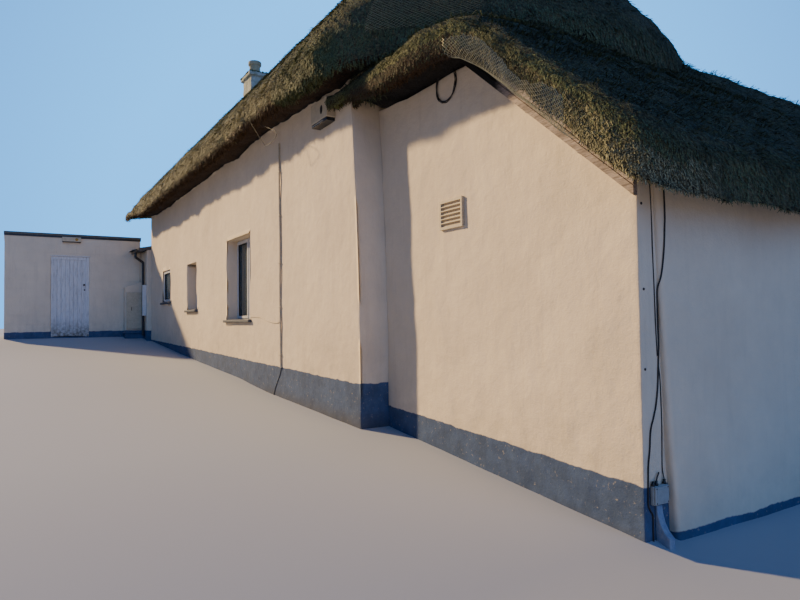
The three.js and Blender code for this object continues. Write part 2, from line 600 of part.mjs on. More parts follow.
function buildVent() {
  const v = VENT;
  const [y0, y1] = [OUT.front - GAP - v.deep, OUT.front - GAP];
  let vent = block(v.x0, v.x1, y0, y1, v.z0, v.z1);
  const step = (v.z1 - v.z0 - 2 * v.rim) / v.blades;
  for (let i = 0; i < v.blades; i += 1) {
    const z = v.z0 + v.rim + i * step;
    const slot = block(v.x0 + v.rim, v.x1 - v.rim, y0 - 1, y1 - v.back, z + v.blade, z + step - v.blade);
    vent = vent.subtract(slot);
  }
  add("louvre_vent", vent, "board");
}

function buildEavesBox() {
  const b = EAVES_BOX;
  const [y0, y1] = [MAIN.front - GAP - b.deep, MAIN.front - GAP];
  const side = [[y0, b.z0 + b.chamfer], [y0 + b.chamfer, b.z0], [y1, b.z0], [y1, b.z1], [y0, b.z1]];
  add("eaves_box", prism(side, b.x0, b.x1, "x"), "cream_box");
}

function buildCornerFittings() {
  const j = JUNCTION;
  const wallX = OUT.east + GAP;
  const box = block(wallX, wallX + j.deep, j.y0, j.y1, j.z0, j.z1);
  add("junction_box", box, "grey_box");
  const d = DUCT;
  const outline = [[wallX, d.z0], [DUCT_CURVE[0][0], d.z0], ...DUCT_CURVE, [wallX, d.z1]];
  add("cable_duct", prism(outline, d.y0, d.y1, "y"), "blue_duct");
  const c = CONDUIT;
  add("wall_conduit", post(c.x, c.y, c.r, c.z0, c.z1), "upvc");
}

function buildRoofs() {
  add("main_thatch", largest(mainCoat.subtract(stackSpace(10))), "thatch");
  const [y0, y1] = [MAIN.front - GAP, MAIN.rear + GAP];
  const mainRange = block(MAIN.west, MAIN.east + GAP, y0, y1, BASE, SKY);
  add("outshut_thatch", largest(outCoat.subtract(mainSpace).subtract(mainRange)), "thatch");
}

buildMainWalls();
Object.entries(WINDOWS).forEach(([name, w]) => buildWindow(name, w, MAIN.front, 1));
buildWindow("rear_window", REAR_WINDOW, MAIN.rear, -1);
buildRearDoor();
buildChimney();
buildOutshutWalls();
buildRakeBoards();
buildRoofs();
buildOuthouseWalls();
buildDoorFrame();
buildDoor();
buildLink();
buildVent();
buildEavesBox();
buildCornerFittings();

export default cottage;
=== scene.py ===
"""Dresses a thatched cottage: rendered walls, mossy straw, netting, windows, outhouse door and fittings.

Metres, +X east along the long front wall, +Y north into the building, +Z up from the level base.
"""

import math

import bmesh
import bpy
import numpy as np
from mathutils import Matrix, Vector, noise


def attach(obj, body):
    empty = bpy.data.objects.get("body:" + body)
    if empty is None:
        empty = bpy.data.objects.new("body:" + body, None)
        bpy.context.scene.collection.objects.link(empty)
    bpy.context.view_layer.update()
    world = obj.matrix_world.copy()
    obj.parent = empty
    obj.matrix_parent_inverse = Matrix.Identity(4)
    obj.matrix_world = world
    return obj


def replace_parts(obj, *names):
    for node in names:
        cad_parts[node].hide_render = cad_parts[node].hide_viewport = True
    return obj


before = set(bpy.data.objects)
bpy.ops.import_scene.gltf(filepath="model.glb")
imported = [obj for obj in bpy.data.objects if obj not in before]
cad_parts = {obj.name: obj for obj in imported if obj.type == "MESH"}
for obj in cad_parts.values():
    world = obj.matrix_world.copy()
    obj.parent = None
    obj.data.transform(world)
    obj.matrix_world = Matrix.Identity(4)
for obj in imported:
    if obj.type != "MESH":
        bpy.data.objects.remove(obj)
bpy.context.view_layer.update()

bl_info = {
    "name": "Thatched cottage",
    "version": (1, 0, 0),
    "blender": (4, 5, 0),
    "location": "View3D > Sidebar > Cottage",
    "description": "Makes the surfaces and fittings of a thatched cottage around its solid model",
    "category": "Object",
}

BUILDING = "building"
LEAF = "door_leaf"
MATH = "ShaderNodeMath"
RANGE = "ShaderNodeMapRange"
VECTOR = "ShaderNodeVectorMath"
AXES = "ShaderNodeSeparateXYZ"

# Camera, at a standing person's eye in the lane
EYE = Vector((2.929, -3.691, 1.560))
EYE_RIGHT = Vector((0.52075, 0.85362, -0.01252))
EYE_UP = Vector((0.03338, -0.00571, 0.99943))
EYE_BACK = Vector((0.85306, -0.52087, -0.03147))
LENS_MM = 28.75
SENSOR_MM = 36.0
FAR_CLIP = 200

# Lights: name, power, spread in degrees, colour and way of travel
LIGHTS = [("low_key", 7.0, 2.5, "#ffdca6", (0.857, 0.515, -0.50)),
          ("open_east", 1.35, 75, "#80b0ff", (-0.93, 0.12, -0.35))]
SKY_BRIGHT_WAY = (-0.85, 0.52, 0.05)
SKY_FILL = 0.22
SKY_GLOW = 2.2

# Ground line along the front, as places along X and heights, and how far the stage floor reaches
GROUND = [(-60, 1.26), (-17, 1.25), (-15.48, 1.21), (-14.7, 1.10), (-10.4, 0.83), (-7.2, 0.66), (-5.9, 0.55),
          (-3.05, 0.42), (0.2, 0.11), (0.45, 0.03), (3, 0.0), (60, -0.4)]
FLOOR_REACH = 60

ARRIS_BAND = 0.042

# Lean of the long wall's end, and of the step in the east wall as heights and shifts
RETURN_FOOT = 0.9
RETURN_LEAN = 0.0166
STEP_BACK = 0.028
STEP_LINE = [(0.1, 0.01), (0.5, -0.02), (0.75, -0.038), (1.08, -0.05), (1.35, -0.06), (1.75, -0.072),
             (2.4, -0.096)]

# Main roof
RIDGE_Y = 1.75
RIDGE_TOP = 7.72
RIDGE_EAST = -3.965
LIP_FRONT = -1.05
LIP_REAR = 4.55
LIP_TOP = 4.53
LIP_BOTTOM = 4.17
SOFFIT_CLIMB = 0.13
VERGE_WEST = -15.3
VERGE_LEAN = 0.13
HIP_FALL = 1.142
HIP_BOW = 0.23
FOOT_EAST = -1.2
FOOT_BOW = 0.242
COAT_RISE = 0.924
BLEND = 0.11
NOSE = 0.21
NOSE_UNDER = 0.09
NOSE_ROWS = [0, 0.008, 0.025, 0.05, 0.08, 0.12, 0.165, 0.21]
EAVES_COVERED = -4.3

# Outshut roof
OUT_FRONT = -0.2
OUT_WEST = -3.05
CREST_TOP = 4.70
CREST_Y = 2.9
CREST_SAG = 0.0467
CREST_SOFFIT = 3.86
CREST_COVER = 0.42
CREST_ROLL = 0.06
SLOPE_EAST = 0.56
SLOPE_TOP = 2.69
SLOPE_FALL = 0.834
SLOPE_RISE = 0.42
SLOPE_WEST = -3.41
SLOPE_WEST_TOP = 2.845
OUT_BLEND = 0.066
OUT_NOSE = 0.16
OUT_NOSE_UNDER = 0.05
OUT_LIP = [(-3.4, -0.70), (-1.75, -0.70), (-1.165, -0.571), (0.56, -0.42)]
OUT_CORNER = 0.35
LIP_HANG = [(-3.1, -0.08), (-2.5, 0.05), (-1.4, 0.05), (-1.1, -0.02), (-0.7, -0.02), (-0.4, 0.035)]
OUT_TIP = -3.37
OUT_COVERED = 4.0
OUT_LIP_REAR = 6.85
BROW_EAST = -1.3
FAR_NORTH = 3.2

# Windows: name, ends along X, foot, head, face of the frame along Y, way out and number of lights
SASHES = [("large_window", -7.89, -6.65, 1.6, 2.94, -0.35, -1, 2),
          ("middle_window", -10.73, -9.96, 1.82, 2.77, -0.35, -1, 1),
          ("far_window", -13.24, -12.39, 2.05, 2.8, -0.5, -1, 1),
          ("rear_window", -7.89, -6.65, 1.6, 2.94, 3.85, 1, 2)]

# Rake boards: ends along X, a place on the lower edge, the back, and each strip's face, foot and head
RAKE_ENDS = (-1.627, 0.199)
RAKE_AT = (-1.068, 3.411)
RAKE_BACK = -0.2005
RAKE_STRIPS = [(-0.237, 0.0, 0.062), (-0.228, 0.062, 0.072), (-0.2375, 0.072, None)]


class CottageColours(bpy.types.PropertyGroup):
    """Paint and straw colours, as sRGB hex values"""

    wall: bpy.props.StringProperty(name="Wall paint", description="Masonry paint", default="#e8d7bb")
    plinth: bpy.props.StringProperty(name="Plinth paint", description="Band at the foot", default="#4a5f82")
    moss: bpy.props.StringProperty(name="Moss", description="Moss on the straw", default="#475739")
    straw: bpy.props.StringProperty(name="Straw", description="Weathered straw tips", default="#8f8a66")
    floor: bpy.props.StringProperty(name="Floor", description="Pale stage floor", default="#a7abb1")


class CottageSizes(bpy.types.PropertyGroup):
    """Sizes of the surface detail"""

    arris: bpy.props.FloatProperty(name="Arris", description="Rounding of a plastered corner",
                                   default=0.028, min=0.002, unit="LENGTH")
    unevenness: bpy.props.FloatProperty(name="Unevenness", description="Swell of hand-laid render",
                                        default=0.009, min=0.0, unit="LENGTH")
    straw_long: bpy.props.FloatProperty(name="Straw end", description="Length of a loose straw end",
                                        default=0.085, min=0.01, unit="LENGTH")
    mesh_cell: bpy.props.FloatProperty(name="Netting cell", description="Width of a cell of the netting",
                                       default=0.028, min=0.01, unit="LENGTH")


# Colours, nodes and materials

def linear(value):
    """An sRGB hex colour as linear red, green, blue and alpha; anything else as it is."""
    if not isinstance(value, str):
        return value
    channels = [int(value[i:i + 2], 16) / 255 for i in (1, 3, 5)]
    return (*[c / 12.92 if c <= 0.04045 else ((c + 0.055) / 1.055) ** 2.4 for c in channels], 1.0)


def dimmed(value, share):
    """A hex colour made darker, as a linear one."""
    return [c * share for c in linear(value)[:3]] + [1]


def add_node(tree, kind, inputs, out=0, **settings):
    """Adds a node with its settings, values and links, and gives one of its outputs."""
    made = tree.nodes.new(kind)
    for name, value in settings.items():
        setattr(made, name, value)
    for key, value in inputs.items() if isinstance(inputs, dict) else enumerate(inputs):
        if isinstance(value, bpy.types.NodeSocket):
            tree.links.new(value, made.inputs[key])
        else:
            made.inputs[key].default_value = value
    return made.outputs[out] if made.outputs else None


def new_material(name, roughness, metallic=0.0):
    """A material with nothing but its shader, and the object's own coordinates."""
    mat = bpy.data.materials.new(name)
    mat.use_nodes = True
    tree = mat.node_tree
    tree.nodes.clear()
    shade = add_node(tree, "ShaderNodeBsdfPrincipled", {"Roughness": roughness, "Metallic": metallic})
    add_node(tree, "ShaderNodeOutputMaterial", {"Surface": shade})
    return mat, tree, shade.node, add_node(tree, "ShaderNodeTexCoord", {}, "Object")


def speckle(tree, place, size, detail=4.0, rough=0.6, stretch=(1, 1, 1)):
    """Noise whose lumps are about the given size in metres, drawn out along an axis by stretch."""
    turned = add_node(tree, "ShaderNodeMapping", {
        "Vector": place, "Scale": [1 / (size * s) for s in stretch]})
    values = {"Vector": turned, "Scale": 1.0, "Detail": detail, "Roughness": rough}
    return add_node(tree, "ShaderNodeTexNoise", values, noise_dimensions="3D")


def patches(tree, place, grain, low, high, top=1.0):
    """Patches where noise of a grain rises from one level to another, at most as strong as top."""
    return add_node(tree, RANGE, (speckle(tree, place, *grain), low, high, 0.0, top))


def layered(tree, base, *coats):
    """Lays colours over one another, each by its share."""
    for share, colour in coats:
        values = {0: share, 6: linear(base), 7: linear(colour)}
        base = add_node(tree, "ShaderNodeMix", values, 2, data_type="RGBA")
    return base


def summed(tree, start, *terms):
    """Adds values to a first one, each times a factor."""
    for value, factor in terms:
        start = add_node(tree, MATH, (value, factor, start), operation="MULTIPLY_ADD")
    return start


def dressed(tree, shader, colour, height=None):
    """Gives a shader its colour, and raises its surface by a height in metres."""
    tree.links.new(colour, shader.inputs["Base Color"])
    if height:
        bump = add_node(tree, "ShaderNodeBump", {"Height": height, "Distance": 1.0, "Strength": 1.0})
        tree.links.new(bump, shader.inputs["Normal"])


def painted_render(name, line, along=0.0, across=0.0, dirt=0.5, courses=0.0):
    """Masonry paint on lime render floated by hand: matt, softly uneven, with a darker band at the foot.

    line is the height of the band's top where x and y are 0; along and across are its slopes.
    """
    colours = bpy.context.scene.cottage_colours
    mat, tree, shader, place = new_material(name, 0.93)
    axes = add_node(tree, AXES, (place,)).node.outputs
    wobble = speckle(tree, place, 0.16, 5.0)
    above = summed(tree, 0.025 - line, (axes[2], 1.0), (axes[0], -along), (axes[1], -across),
                   (wobble, -0.05))
    low_damp = add_node(tree, RANGE, (above, 0.0, 0.55, 0.55 * dirt, 0.0))
    damp = summed(tree, 0.0, (low_damp, patches(tree, place, (0.3, 6.0, 0.7), 0.42, 0.7)))
    upper = layered(tree, dimmed(colours.wall, 0.86),
                    (patches(tree, place, (0.9, 5.0, 0.65), 0.35, 0.7), colours.wall),
                    (patches(tree, place, (0.11, 6.0, 0.7, (1, 1, 9)), 0.52, 0.78, 0.35 * dirt), "#8f7f66"),
                    (damp, "#7e735f"))
    lower = layered(tree, dimmed(colours.plinth, 0.6),
                    (patches(tree, place, (0.22, 8.0, 0.75), 0.4, 0.72), colours.plinth),
                    (patches(tree, place, (0.035, 4.0, 0.7), 0.62, 0.7, 0.75), "#9b9489"),
                    (add_node(tree, RANGE, (above, -0.5, -0.28, 0.65, 0.0)), "#4a4338"))
    band = add_node(tree, RANGE, (above, -0.004, 0.004, 0.0, 1.0))
    height = summed(tree, 0.0, (speckle(tree, place, 0.012, 3.0), 0.0022),
                    (speckle(tree, place, 0.16, 5.0, 0.55), 0.014))
    if courses:
        wall = add_node(tree, "ShaderNodeCombineXYZ", (axes[1], axes[2]))
        blocks = add_node(tree, "ShaderNodeTexBrick", {
            "Vector": wall, "Scale": 1.0, "Mortar Size": 0.012, "Mortar Smooth": 0.9,
            "Brick Width": 2 * courses, "Row Height": courses}, "Fac")
        height = summed(tree, height, (blocks, -0.0035))
    dressed(tree, shader, layered(tree, lower, (band, upper)), height)
    return mat


def mossy_thatch(name, soffit_from):
    """Combed straw under moss: no gloss, dark green on top, brown on the cut edges, painted shade by the
    wall.

    soffit_from is the place along Y past which the underside is painted near black, as shade of the eaves.
    """
    colours = bpy.context.scene.cottage_colours
    mat, tree, shader, place = new_material(name, 1.0)
    axes = add_node(tree, AXES, (place,)).node.outputs
    facing = add_node(tree, "ShaderNodeNewGeometry", {}, "True Normal")
    up = add_node(tree, AXES, (facing,), 2)
    patch = patches(tree, place, (0.55, 6.0, 0.7), 0.42, 0.62)
    tuft = patches(tree, place, (0.03, 5.0, 0.75), 0.36, 0.68)
    moss = layered(tree, "#0c100a", (tuft, colours.moss))
    dry = layered(tree, "#1d180e", (tuft, colours.straw))
    edge = add_node(tree, RANGE, (summed(tree, up, (patch, 0.35)), 0.15, 0.75, 0.7, 0.0))
    below = layered(tree, "#120a05", (tuft, "#4a3318"))
    # Painted shade: the underside past soffit_from is painted near black, for the dark of the eaves
    eaves_shade = add_node(tree, RANGE, (axes[1], soffit_from - 0.02, soffit_from + 0.02, 0.0, 1.0))
    under = add_node(tree, RANGE, (up, -0.05, -0.3, 0.0, 1.0))
    colour = layered(tree, moss, (summed(tree, 0.0, (patch, 0.45)), dry), (edge, dry),
                     (under, layered(tree, below, (eaves_shade, "#050404"))))
    dressed(tree, shader, colour, summed(tree, 0.0, (speckle(tree, place, 0.11, 6.0, 0.72), 0.07),
                                         (speckle(tree, place, 0.014, 3.0, 0.7), 0.016)))
    return mat


def straw_blades(name, fresh, old, patch_size=0.5):
    """Single straw ends, dry and a little glossy, in two shades that change over the roof."""
    mat, tree, shader, place = new_material(name, 0.75)
    share = summed(tree, 0.0, (patches(tree, place, (0.012, 2.0), 0.4, 0.62), 0.7),
                   (patches(tree, place, (patch_size, 5.0, 0.7), 0.38, 0.64), 0.3))
    dressed(tree, shader, layered(tree, old, (share, fresh)))
    return mat


def weathered(name, base, stain, roughness, grain, depth=0.001, share=0.5, stretch=(1, 1, 1), metallic=0.0):
    """A surface of one colour with stains, and a grain of the given size that also raises it."""
    mat, tree, shader, place = new_material(name, roughness, metallic)
    marks = patches(tree, place, (grain * 6, 6.0, 0.7, stretch), 0.42, 0.7, share)
    fine = speckle(tree, place, grain, 4.0, 0.65, stretch)
    shade = add_node(tree, RANGE, (fine, 0.3, 0.7, 0.0, 0.35))
    dressed(tree, shader, layered(tree, base, (shade, dimmed(base, 0.6)), (marks, stain)),
            summed(tree, 0.0, (fine, depth)))
    return mat


def float_glass():
    """Float glass: smooth, clear, slightly green, seen against a dark room."""
    mat, _tree, shader, _place = new_material("float_glass", 0.03)
    for name, value in (("Base Color", linear("#8fa3a3")), ("Transmission Weight", 0.85), ("IOR", 1.5)):
        shader.inputs[name].default_value = value
    return mat


def planks_paint():
    """Old white gloss on softwood boards: chalky, grey where worn, brown and green near the foot."""
    mat, tree, shader, place = new_material("worn_white_plank_paint", 0.7)
    height = add_node(tree, AXES, (place,), 2)
    grain = speckle(tree, place, 0.012, 5.0, 0.7, (1, 1, 22))
    worn = add_node(tree, RANGE, (grain, 0.5, 0.66, 0.0, 0.75))
    low = add_node(tree, RANGE, (height, 1.25, 1.72, 1.0, 0.0))
    splash = summed(tree, 0.0, (low, patches(tree, place, (0.06, 6.0, 0.7), 0.3, 0.62)))
    dressed(tree, shader, layered(tree, "#d9d8d6", (worn, "#8d8982"), (splash, "#4f4a35")),
            summed(tree, 0.0, (grain, 0.002)))
    return mat


def rake_paint():
    """Old grey softwood boards under the rake: dry and open-grained, black where the eyebrow shades them."""
    mat, tree, shader, place = new_material("grey_rake_softwood", 0.9)
    along = add_node(tree, AXES, (place,), 0)
    grain = speckle(tree, place, 0.012, 5.0, 0.7, (9, 1, 1))
    open_grain = add_node(tree, RANGE, (grain, 0.4, 0.68, 0.0, 1.0))
    stains = patches(tree, place, (0.12, 6.0, 0.7, (3, 1, 1)), 0.45, 0.7, 0.7)
    shade = add_node(tree, RANGE, (along, -1.16, -1.06, 1.0, 0.0))
    colour = layered(tree, "#b3a49a", (open_grain, "#6d625a"), (stains, "#54483e"), (shade, "#070605"))
    dressed(tree, shader, colour, summed(tree, 0.0, (grain, 0.002)))
    return mat


# What makes each finish. A weathered one: name, colour, stain, roughness, grain, depth and share of stain;
# a painted one: name, height of its band and the band's slopes, share of dirt and height of the courses
MAKERS = {
    "front_paint": (painted_render, "painted_render_front", 0.826, -0.0211),
    "outshut_paint": (painted_render, "painted_render_outshut", 0.474, -0.056),
    "east_paint": (painted_render, "painted_render_east", 0.15, 0.0, 0.0, 0.3),
    "west_paint": (painted_render, "painted_render_west", 1.19),
    "outhouse_paint": (painted_render, "painted_render_outhouse", 1.375),
    "block_paint": (painted_render, "painted_blockwork_outhouse", 1.375, 0.0, 0.0, 0.5, 0.225),
    # Thatch: name and the place along Y past which its underside is painted near black, as painted shade
    "main_thatch": (mossy_thatch, "main_mossy_straw", -0.6),
    "outshut_thatch": (mossy_thatch, "outshut_mossy_straw", -0.52),
    "straw": (straw_blades, "dry_straw_ends", "#a9a67c", "#1b1a10"),
    "netted_straw": (straw_blades, "netted_straw_ends", "#8d8860", "#0f0e08"),
    "brown_straw": (straw_blades, "brown_straw_ends", "#5e4524", "#150d06"),
    # Painted highlight: a brighter, yellower copy of the moss, for the crest that the sun catches
    "sunlit_moss": (straw_blades, "sunlit_moss_ends", "#8e9658", "#23290f", 0.3),
    "moss_blades": (straw_blades, "mossy_straw_ends", "#64754c", "#11170e", 0.7),
    "glass": (float_glass,),
    "planks": (planks_paint,),
    "rake": (rake_paint,),
    # Extruded white window plastic: smooth and satin, with a faint grey film
    "upvc": (weathered, "white_window_upvc", "#dfe0de", "#a6a59d", 0.35, 0.02, 0.0001, 0.25),
    # Split slate: dark and dull, stepped along its cleft, with pale lichen
    "slate": (weathered, "riven_slate", "#41464e", "#6c6f70", 0.6, 0.02, 0.002, 0.4, (1, 1, 0.3)),
    # Brick under old lime render: dull, rough and green with moss
    "brick": (weathered, "mossy_rendered_brick", "#b7bcae", "#6f775f", 0.95, 0.02, 0.004, 0.8),
    # Thrown, unglazed clay: dull and granular, darker where it is damp
    "clay": (weathered, "unglazed_clay", "#a9a58a", "#5f6b40", 0.9, 0.01, 0.001, 0.6),
    # Forged iron: brown-black, rough with rust
    "iron": (weathered, "rusted_black_iron", "#2d2927", "#5b3a22", 0.65, 0.004, 0.0004),
    # Extruded black plastic: satin, grey with dust
    "black": (weathered, "black_pvc", "#1c1c1d", "#4a4a48", 0.4, 0.01, 0.0001, 0.3),
    # Moulded plastic painted with the wall: cream and satin, stained brown
    "cream": (weathered, "cream_painted_plastic", "#cfc0a0", "#8d8068", 0.6, 0.01, 0.0003, 0.4),
    # Moulded grey plastic: smooth and even
    "grey": (weathered, "light_grey_abs", "#9fa6a6", "#6d7270", 0.5, 0.008, 0.0001, 0.4),
    # Plinth paint brushed on metal: dull blue, scuffed pale
    "duct": (weathered, "scuffed_blue_paint", "#7689a4", "#b9bcbc", 0.6, 0.008, 0.0003),
    # Felt with mineral grit: dull grey, with dark damp patches
    "felt": (weathered, "mineral_felt", "#6d6b64", "#4c4f3d", 0.95, 0.006, 0.001, 0.7),
    # Floated cement: dull and even
    "screed": (weathered, "floated_screed", "#8f8a80", "#6f695e", 0.9, 0.02),
    # Drawn and galvanised wire: thin, pale and half dull, with no grain to see
    "wire": (weathered, "galvanised_wire", "#b9b99c", "#77735a", 0.5, 0.01, 0.0, 0.5, (1, 1, 1), 0.3),
    # Rubber sheath: black and dull, brown with dust
    "cable": (weathered, "black_rubber_cable", "#1b1a19", "#3c3833", 0.6, 0.01, 0.0),
    # Moulded lens: amber and satin
    "amber": (weathered, "amber_lens", "#b98a1e", "#6b5220", 0.4, 0.01, 0.0002, 0.3),
    # Broken lime plaster: pale, dull and sharp-edged
    "chip": (weathered, "chipped_lime_plaster", "#d8cdb8", "#8b8170", 0.95, 0.006, 0.002),
    # Old softwood in shadow: nearly black
    "dark": (weathered, "shadowed_softwood", "#26211b", "#15120e", 0.95, 0.02),
}
FINISHES = {}


def finish(name):
    """The material of that name, made the first time that it is asked for."""
    if name not in FINISHES:
        maker, *values = MAKERS[name]
        FINISHES[name] = maker(*values)
    return FINISHES[name]


# Mesh helpers

def open_mesh(name, verts, edges=(), faces=()):
    """A mesh of points, edges or faces."""
    mesh = bpy.data.meshes.new(name)
    mesh.from_pydata([tuple(map(float, v)) for v in verts], [tuple(map(int, e)) for e in edges],
                     [tuple(map(int, f)) for f in faces])
    mesh.update()
    return mesh


def poured(name, bm):
    """The mesh of what was built."""
    mesh = bpy.data.meshes.new(name)
    bm.to_mesh(mesh)
    bm.free()
    return mesh


def settle(name, mesh, kind, body=BUILDING, replaced=(), smooth=False):
    """Puts a mesh in the scene as a finished piece that rides on a body, with its place in its mesh."""
    mesh.materials.clear()
    mesh.materials.append(finish(kind))
    mesh.polygons.foreach_set("use_smooth", [smooth] * len(mesh.polygons))
    made = bpy.data.objects.new(name, mesh)
    bpy.context.scene.collection.objects.link(made)
    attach(made, body)
    if replaced:
        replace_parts(made, *replaced)
    return made


def loose_copy(node):
    """A CAD node's mesh with its doubles merged and its flat faces joined."""
    bm = bmesh.new()
    bm.from_mesh(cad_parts[node].data)
    bmesh.ops.remove_doubles(bm, verts=bm.verts, dist=1e-5)
    bmesh.ops.dissolve_limit(bm, angle_limit=math.radians(1), verts=bm.verts, edges=bm.edges)
    return bm


def round_edges(bm, width, segments, sharp=30):
    """Rounds every edge sharper than an angle."""
    limit = math.radians(sharp)
    edges = [e for e in bm.edges if len(e.link_faces) == 2 and e.calc_face_angle(0) > limit]
    bmesh.ops.bevel(bm, geom=edges, offset=width, offset_type="OFFSET", segments=segments, profile=0.5,
                    affect="EDGES", clamp_overlap=True)


def sliced(bm, axis, step):
    """Cuts a mesh through at even steps along an axis."""
    low, high = (pick(v.co[axis] for v in bm.verts) for pick in (min, max))
    normal = [float(k == axis) for k in range(3)]
    count = max(1, round((high - low) / step))
    inner = [low + (i + 0.5) * (high - low) / count for i in range(count)]
    for level in [low + ARRIS_BAND, *inner, high - ARRIS_BAND]:
        point = [level * n for n in normal]
        geom = bm.verts[:] + bm.edges[:] + bm.faces[:]
        bmesh.ops.bisect_plane(bm, geom=geom, dist=1e-5, plane_co=point, plane_no=normal)


def rounded_piece(name, bm, kind, width=0.006, segments=2, body=BUILDING, replaced=()):
    """A mesh with its edges rounded, as a piece."""
    round_edges(bm, width, segments)
    bmesh.ops.recalc_face_normals(bm, faces=bm.faces)
    return settle(name, poured(name, bm), kind, body, replaced)


def rounded_node(name, node, kind, width=0.006, segments=2):
    """A CAD node with its edges rounded, as a piece in its place."""
    return rounded_piece(name, loose_copy(node), kind, width, segments, BUILDING, [node])


def upright(_co):
    return Vector((0, 0, 0))


def return_lean(co):
    """The end of the long wall leans back to the west above its plinth, and what abuts it there follows."""
    share = min(max((co.x + 3.6) / 0.5, 0), 1) * min(max((-2.4 - co.x) / 0.6, 0), 1)
    return Vector((-RETURN_LEAN * max(co.z - RETURN_FOOT, 0) ** 2 * share, 0, 0))


def step_lean(co):
    """The edge of the east wall's thicker part leans south towards its top, and its face leans back."""
    share = min(max((0.35 - co.y) / 0.3, 0), 1)
    back = min(max((co.z - 0.5) / 1.4, 0), 1) * min(max((2.5 - co.y) / 2, 0), 1) if co.x > 0.2 else 0
    return Vector((-STEP_BACK * back, float(np.interp(co.z, *zip(*STEP_LINE))) * share, 0))


def plastered(name, bm, kind, replaced, steps, arris, lumps, bent=upright, lowest=0.0):
    """A wall or stack with soft arrises and a hand-laid face, of lumps of a size and a depth."""
    round_edges(bm, arris, 3)
    for axis, step in enumerate(steps):
        sliced(bm, axis, step)
    bm.normal_update()
    size, depth = lumps
    moves = [(v, v.normal * (noise.fractal(v.co / size, 0.6, 2.0, 3) * depth)) for v in bm.verts]
    for v, move in moves:
        v.co += move + bent(v.co)
        v.co.z = max(v.co.z, lowest)
    return settle(name, poured(name, bm), kind, BUILDING, replaced, True)


def rendered(name, paint, nodes, step=0.11, uneven=1.0, bent=upright, bm=None):
    """A rendered wall in place of CAD nodes."""
    sizes = bpy.context.scene.cottage_sizes
    plastered(name, bm or loose_copy(nodes[0]), paint, nodes, [step] * 3, sizes.arris,
              (0.75, sizes.unevenness * uneven), bent)


def boxed(name, low, high, kind, slot, width=0.004, segments=2, replaced=(), body=BUILDING):
    """A box between two corners with rounded edges."""
    bm = bmesh.new()
    bmesh.ops.create_cube(bm, size=1)
    for v in bm.verts:
        v.co = Vector(low[i] + (v.co[i] + 0.5) * (high[i] - low[i]) for i in range(3))
    return rounded_piece(name, bm, kind, width, segments, body, replaced)


def banded(bm, rings, closed=False):
    """Joins rings of points to the next by faces, and the last to the first where closed."""
    for a, b in zip(rings, rings[1:] + rings[:1] if closed else rings[1:]):
        for k in range(len(a)):
            n = (k + 1) % len(a)
            bm.faces.new((a[k], a[n], b[n], b[k]))


def turned_piece(name, outline, at, axis, kind, sides=32, replaced=(), body=BUILDING):
    """A shape turned from an outline of radius and height, on a spot, standing along an axis."""
    turn = Vector((0, 0, 1)).rotation_difference(Vector(axis)).to_matrix()
    around = [(math.cos(2 * math.pi * k / sides), math.sin(2 * math.pi * k / sides)) for k in range(sides)]
    bm = bmesh.new()
    banded(bm, [[bm.verts.new(turn @ Vector((r * c, r * s, h)) + Vector(at)) for c, s in around]
                for r, h in outline])
    bmesh.ops.remove_doubles(bm, verts=bm.verts, dist=1e-5)
    bmesh.ops.dissolve_degenerate(bm, edges=bm.edges, dist=1e-6)
    bmesh.ops.recalc_face_normals(bm, faces=bm.faces)
    return settle(name, poured(name, bm), kind, body, replaced, True)


def ring_mesh(across, up, deep, bar):
    """Four bars round an opening, as one closed ring in the plane of a wall along X."""
    bm = bmesh.new()
    near, near_in, far, far_in = (
        [bm.verts.new((x, y, z)) for x, z in (
            (across[0] + inset, up[0] + inset), (across[1] - inset, up[0] + inset),
            (across[1] - inset, up[1] - inset), (across[0] + inset, up[1] - inset))]
        for y in deep for inset in (0, bar))
    banded(bm, [near, near_in, far_in, far], True)
    bmesh.ops.recalc_face_normals(bm, faces=bm.faces)
    return bm


def boards(name, ends, up, deep, axis, count, body, replaced, ragged=0.0):
    """Upright boards side by side along an axis, with chamfered edges, in one piece."""
    bm = bmesh.new()
    wide, gap = (ends[1] - ends[0]) / count, 0.0012
    for k in range(count):
        rise = ragged * noise.noise(Vector((k * 3.7, 0.4, 0.2)))
        sides = ends[0] + k * wide + gap, ends[0] + (k + 1) * wide - gap
        for v in bmesh.ops.create_cube(bm, size=1)["verts"]:
            along, across = sides[v.co.x > 0], deep[v.co.y > 0]
            height = up[1] if v.co.z > 0 else up[0] + max(rise, 0)
            v.co = (along, across, height) if axis == 0 else (across, along, height)
    return rounded_piece(name, bm, "planks", 0.005, 1, body, replaced)


def lump(name, size, seed, flat=0.6):
    """A small rough lump, for moss and chips."""
    bm = bmesh.new()
    bmesh.ops.create_icosphere(bm, subdivisions=1, radius=size)
    for v in bm.verts:
        v.co *= 1 + 0.35 * noise.noise(v.co / size + Vector((seed, 0, 0)))
        v.co.z *= flat
    return poured(name, bm)


def slate_shape(tilt):
    """One slate lying on the link's slope."""
    bm = bmesh.new()
    bmesh.ops.create_cube(bm, size=1)
    turn = Matrix.Rotation(tilt, 3, "X")
    for v in bm.verts:
        v.co = Vector((v.co.x * 0.195, v.co.y * 0.29, v.co.z * 0.009))
        v.co.z += 0.004 + v.co.y * -0.03
        v.co = turn @ v.co
    round_edges(bm, 0.002, 1)
    return poured("slate", bm)


# Geometry Nodes for what repeats

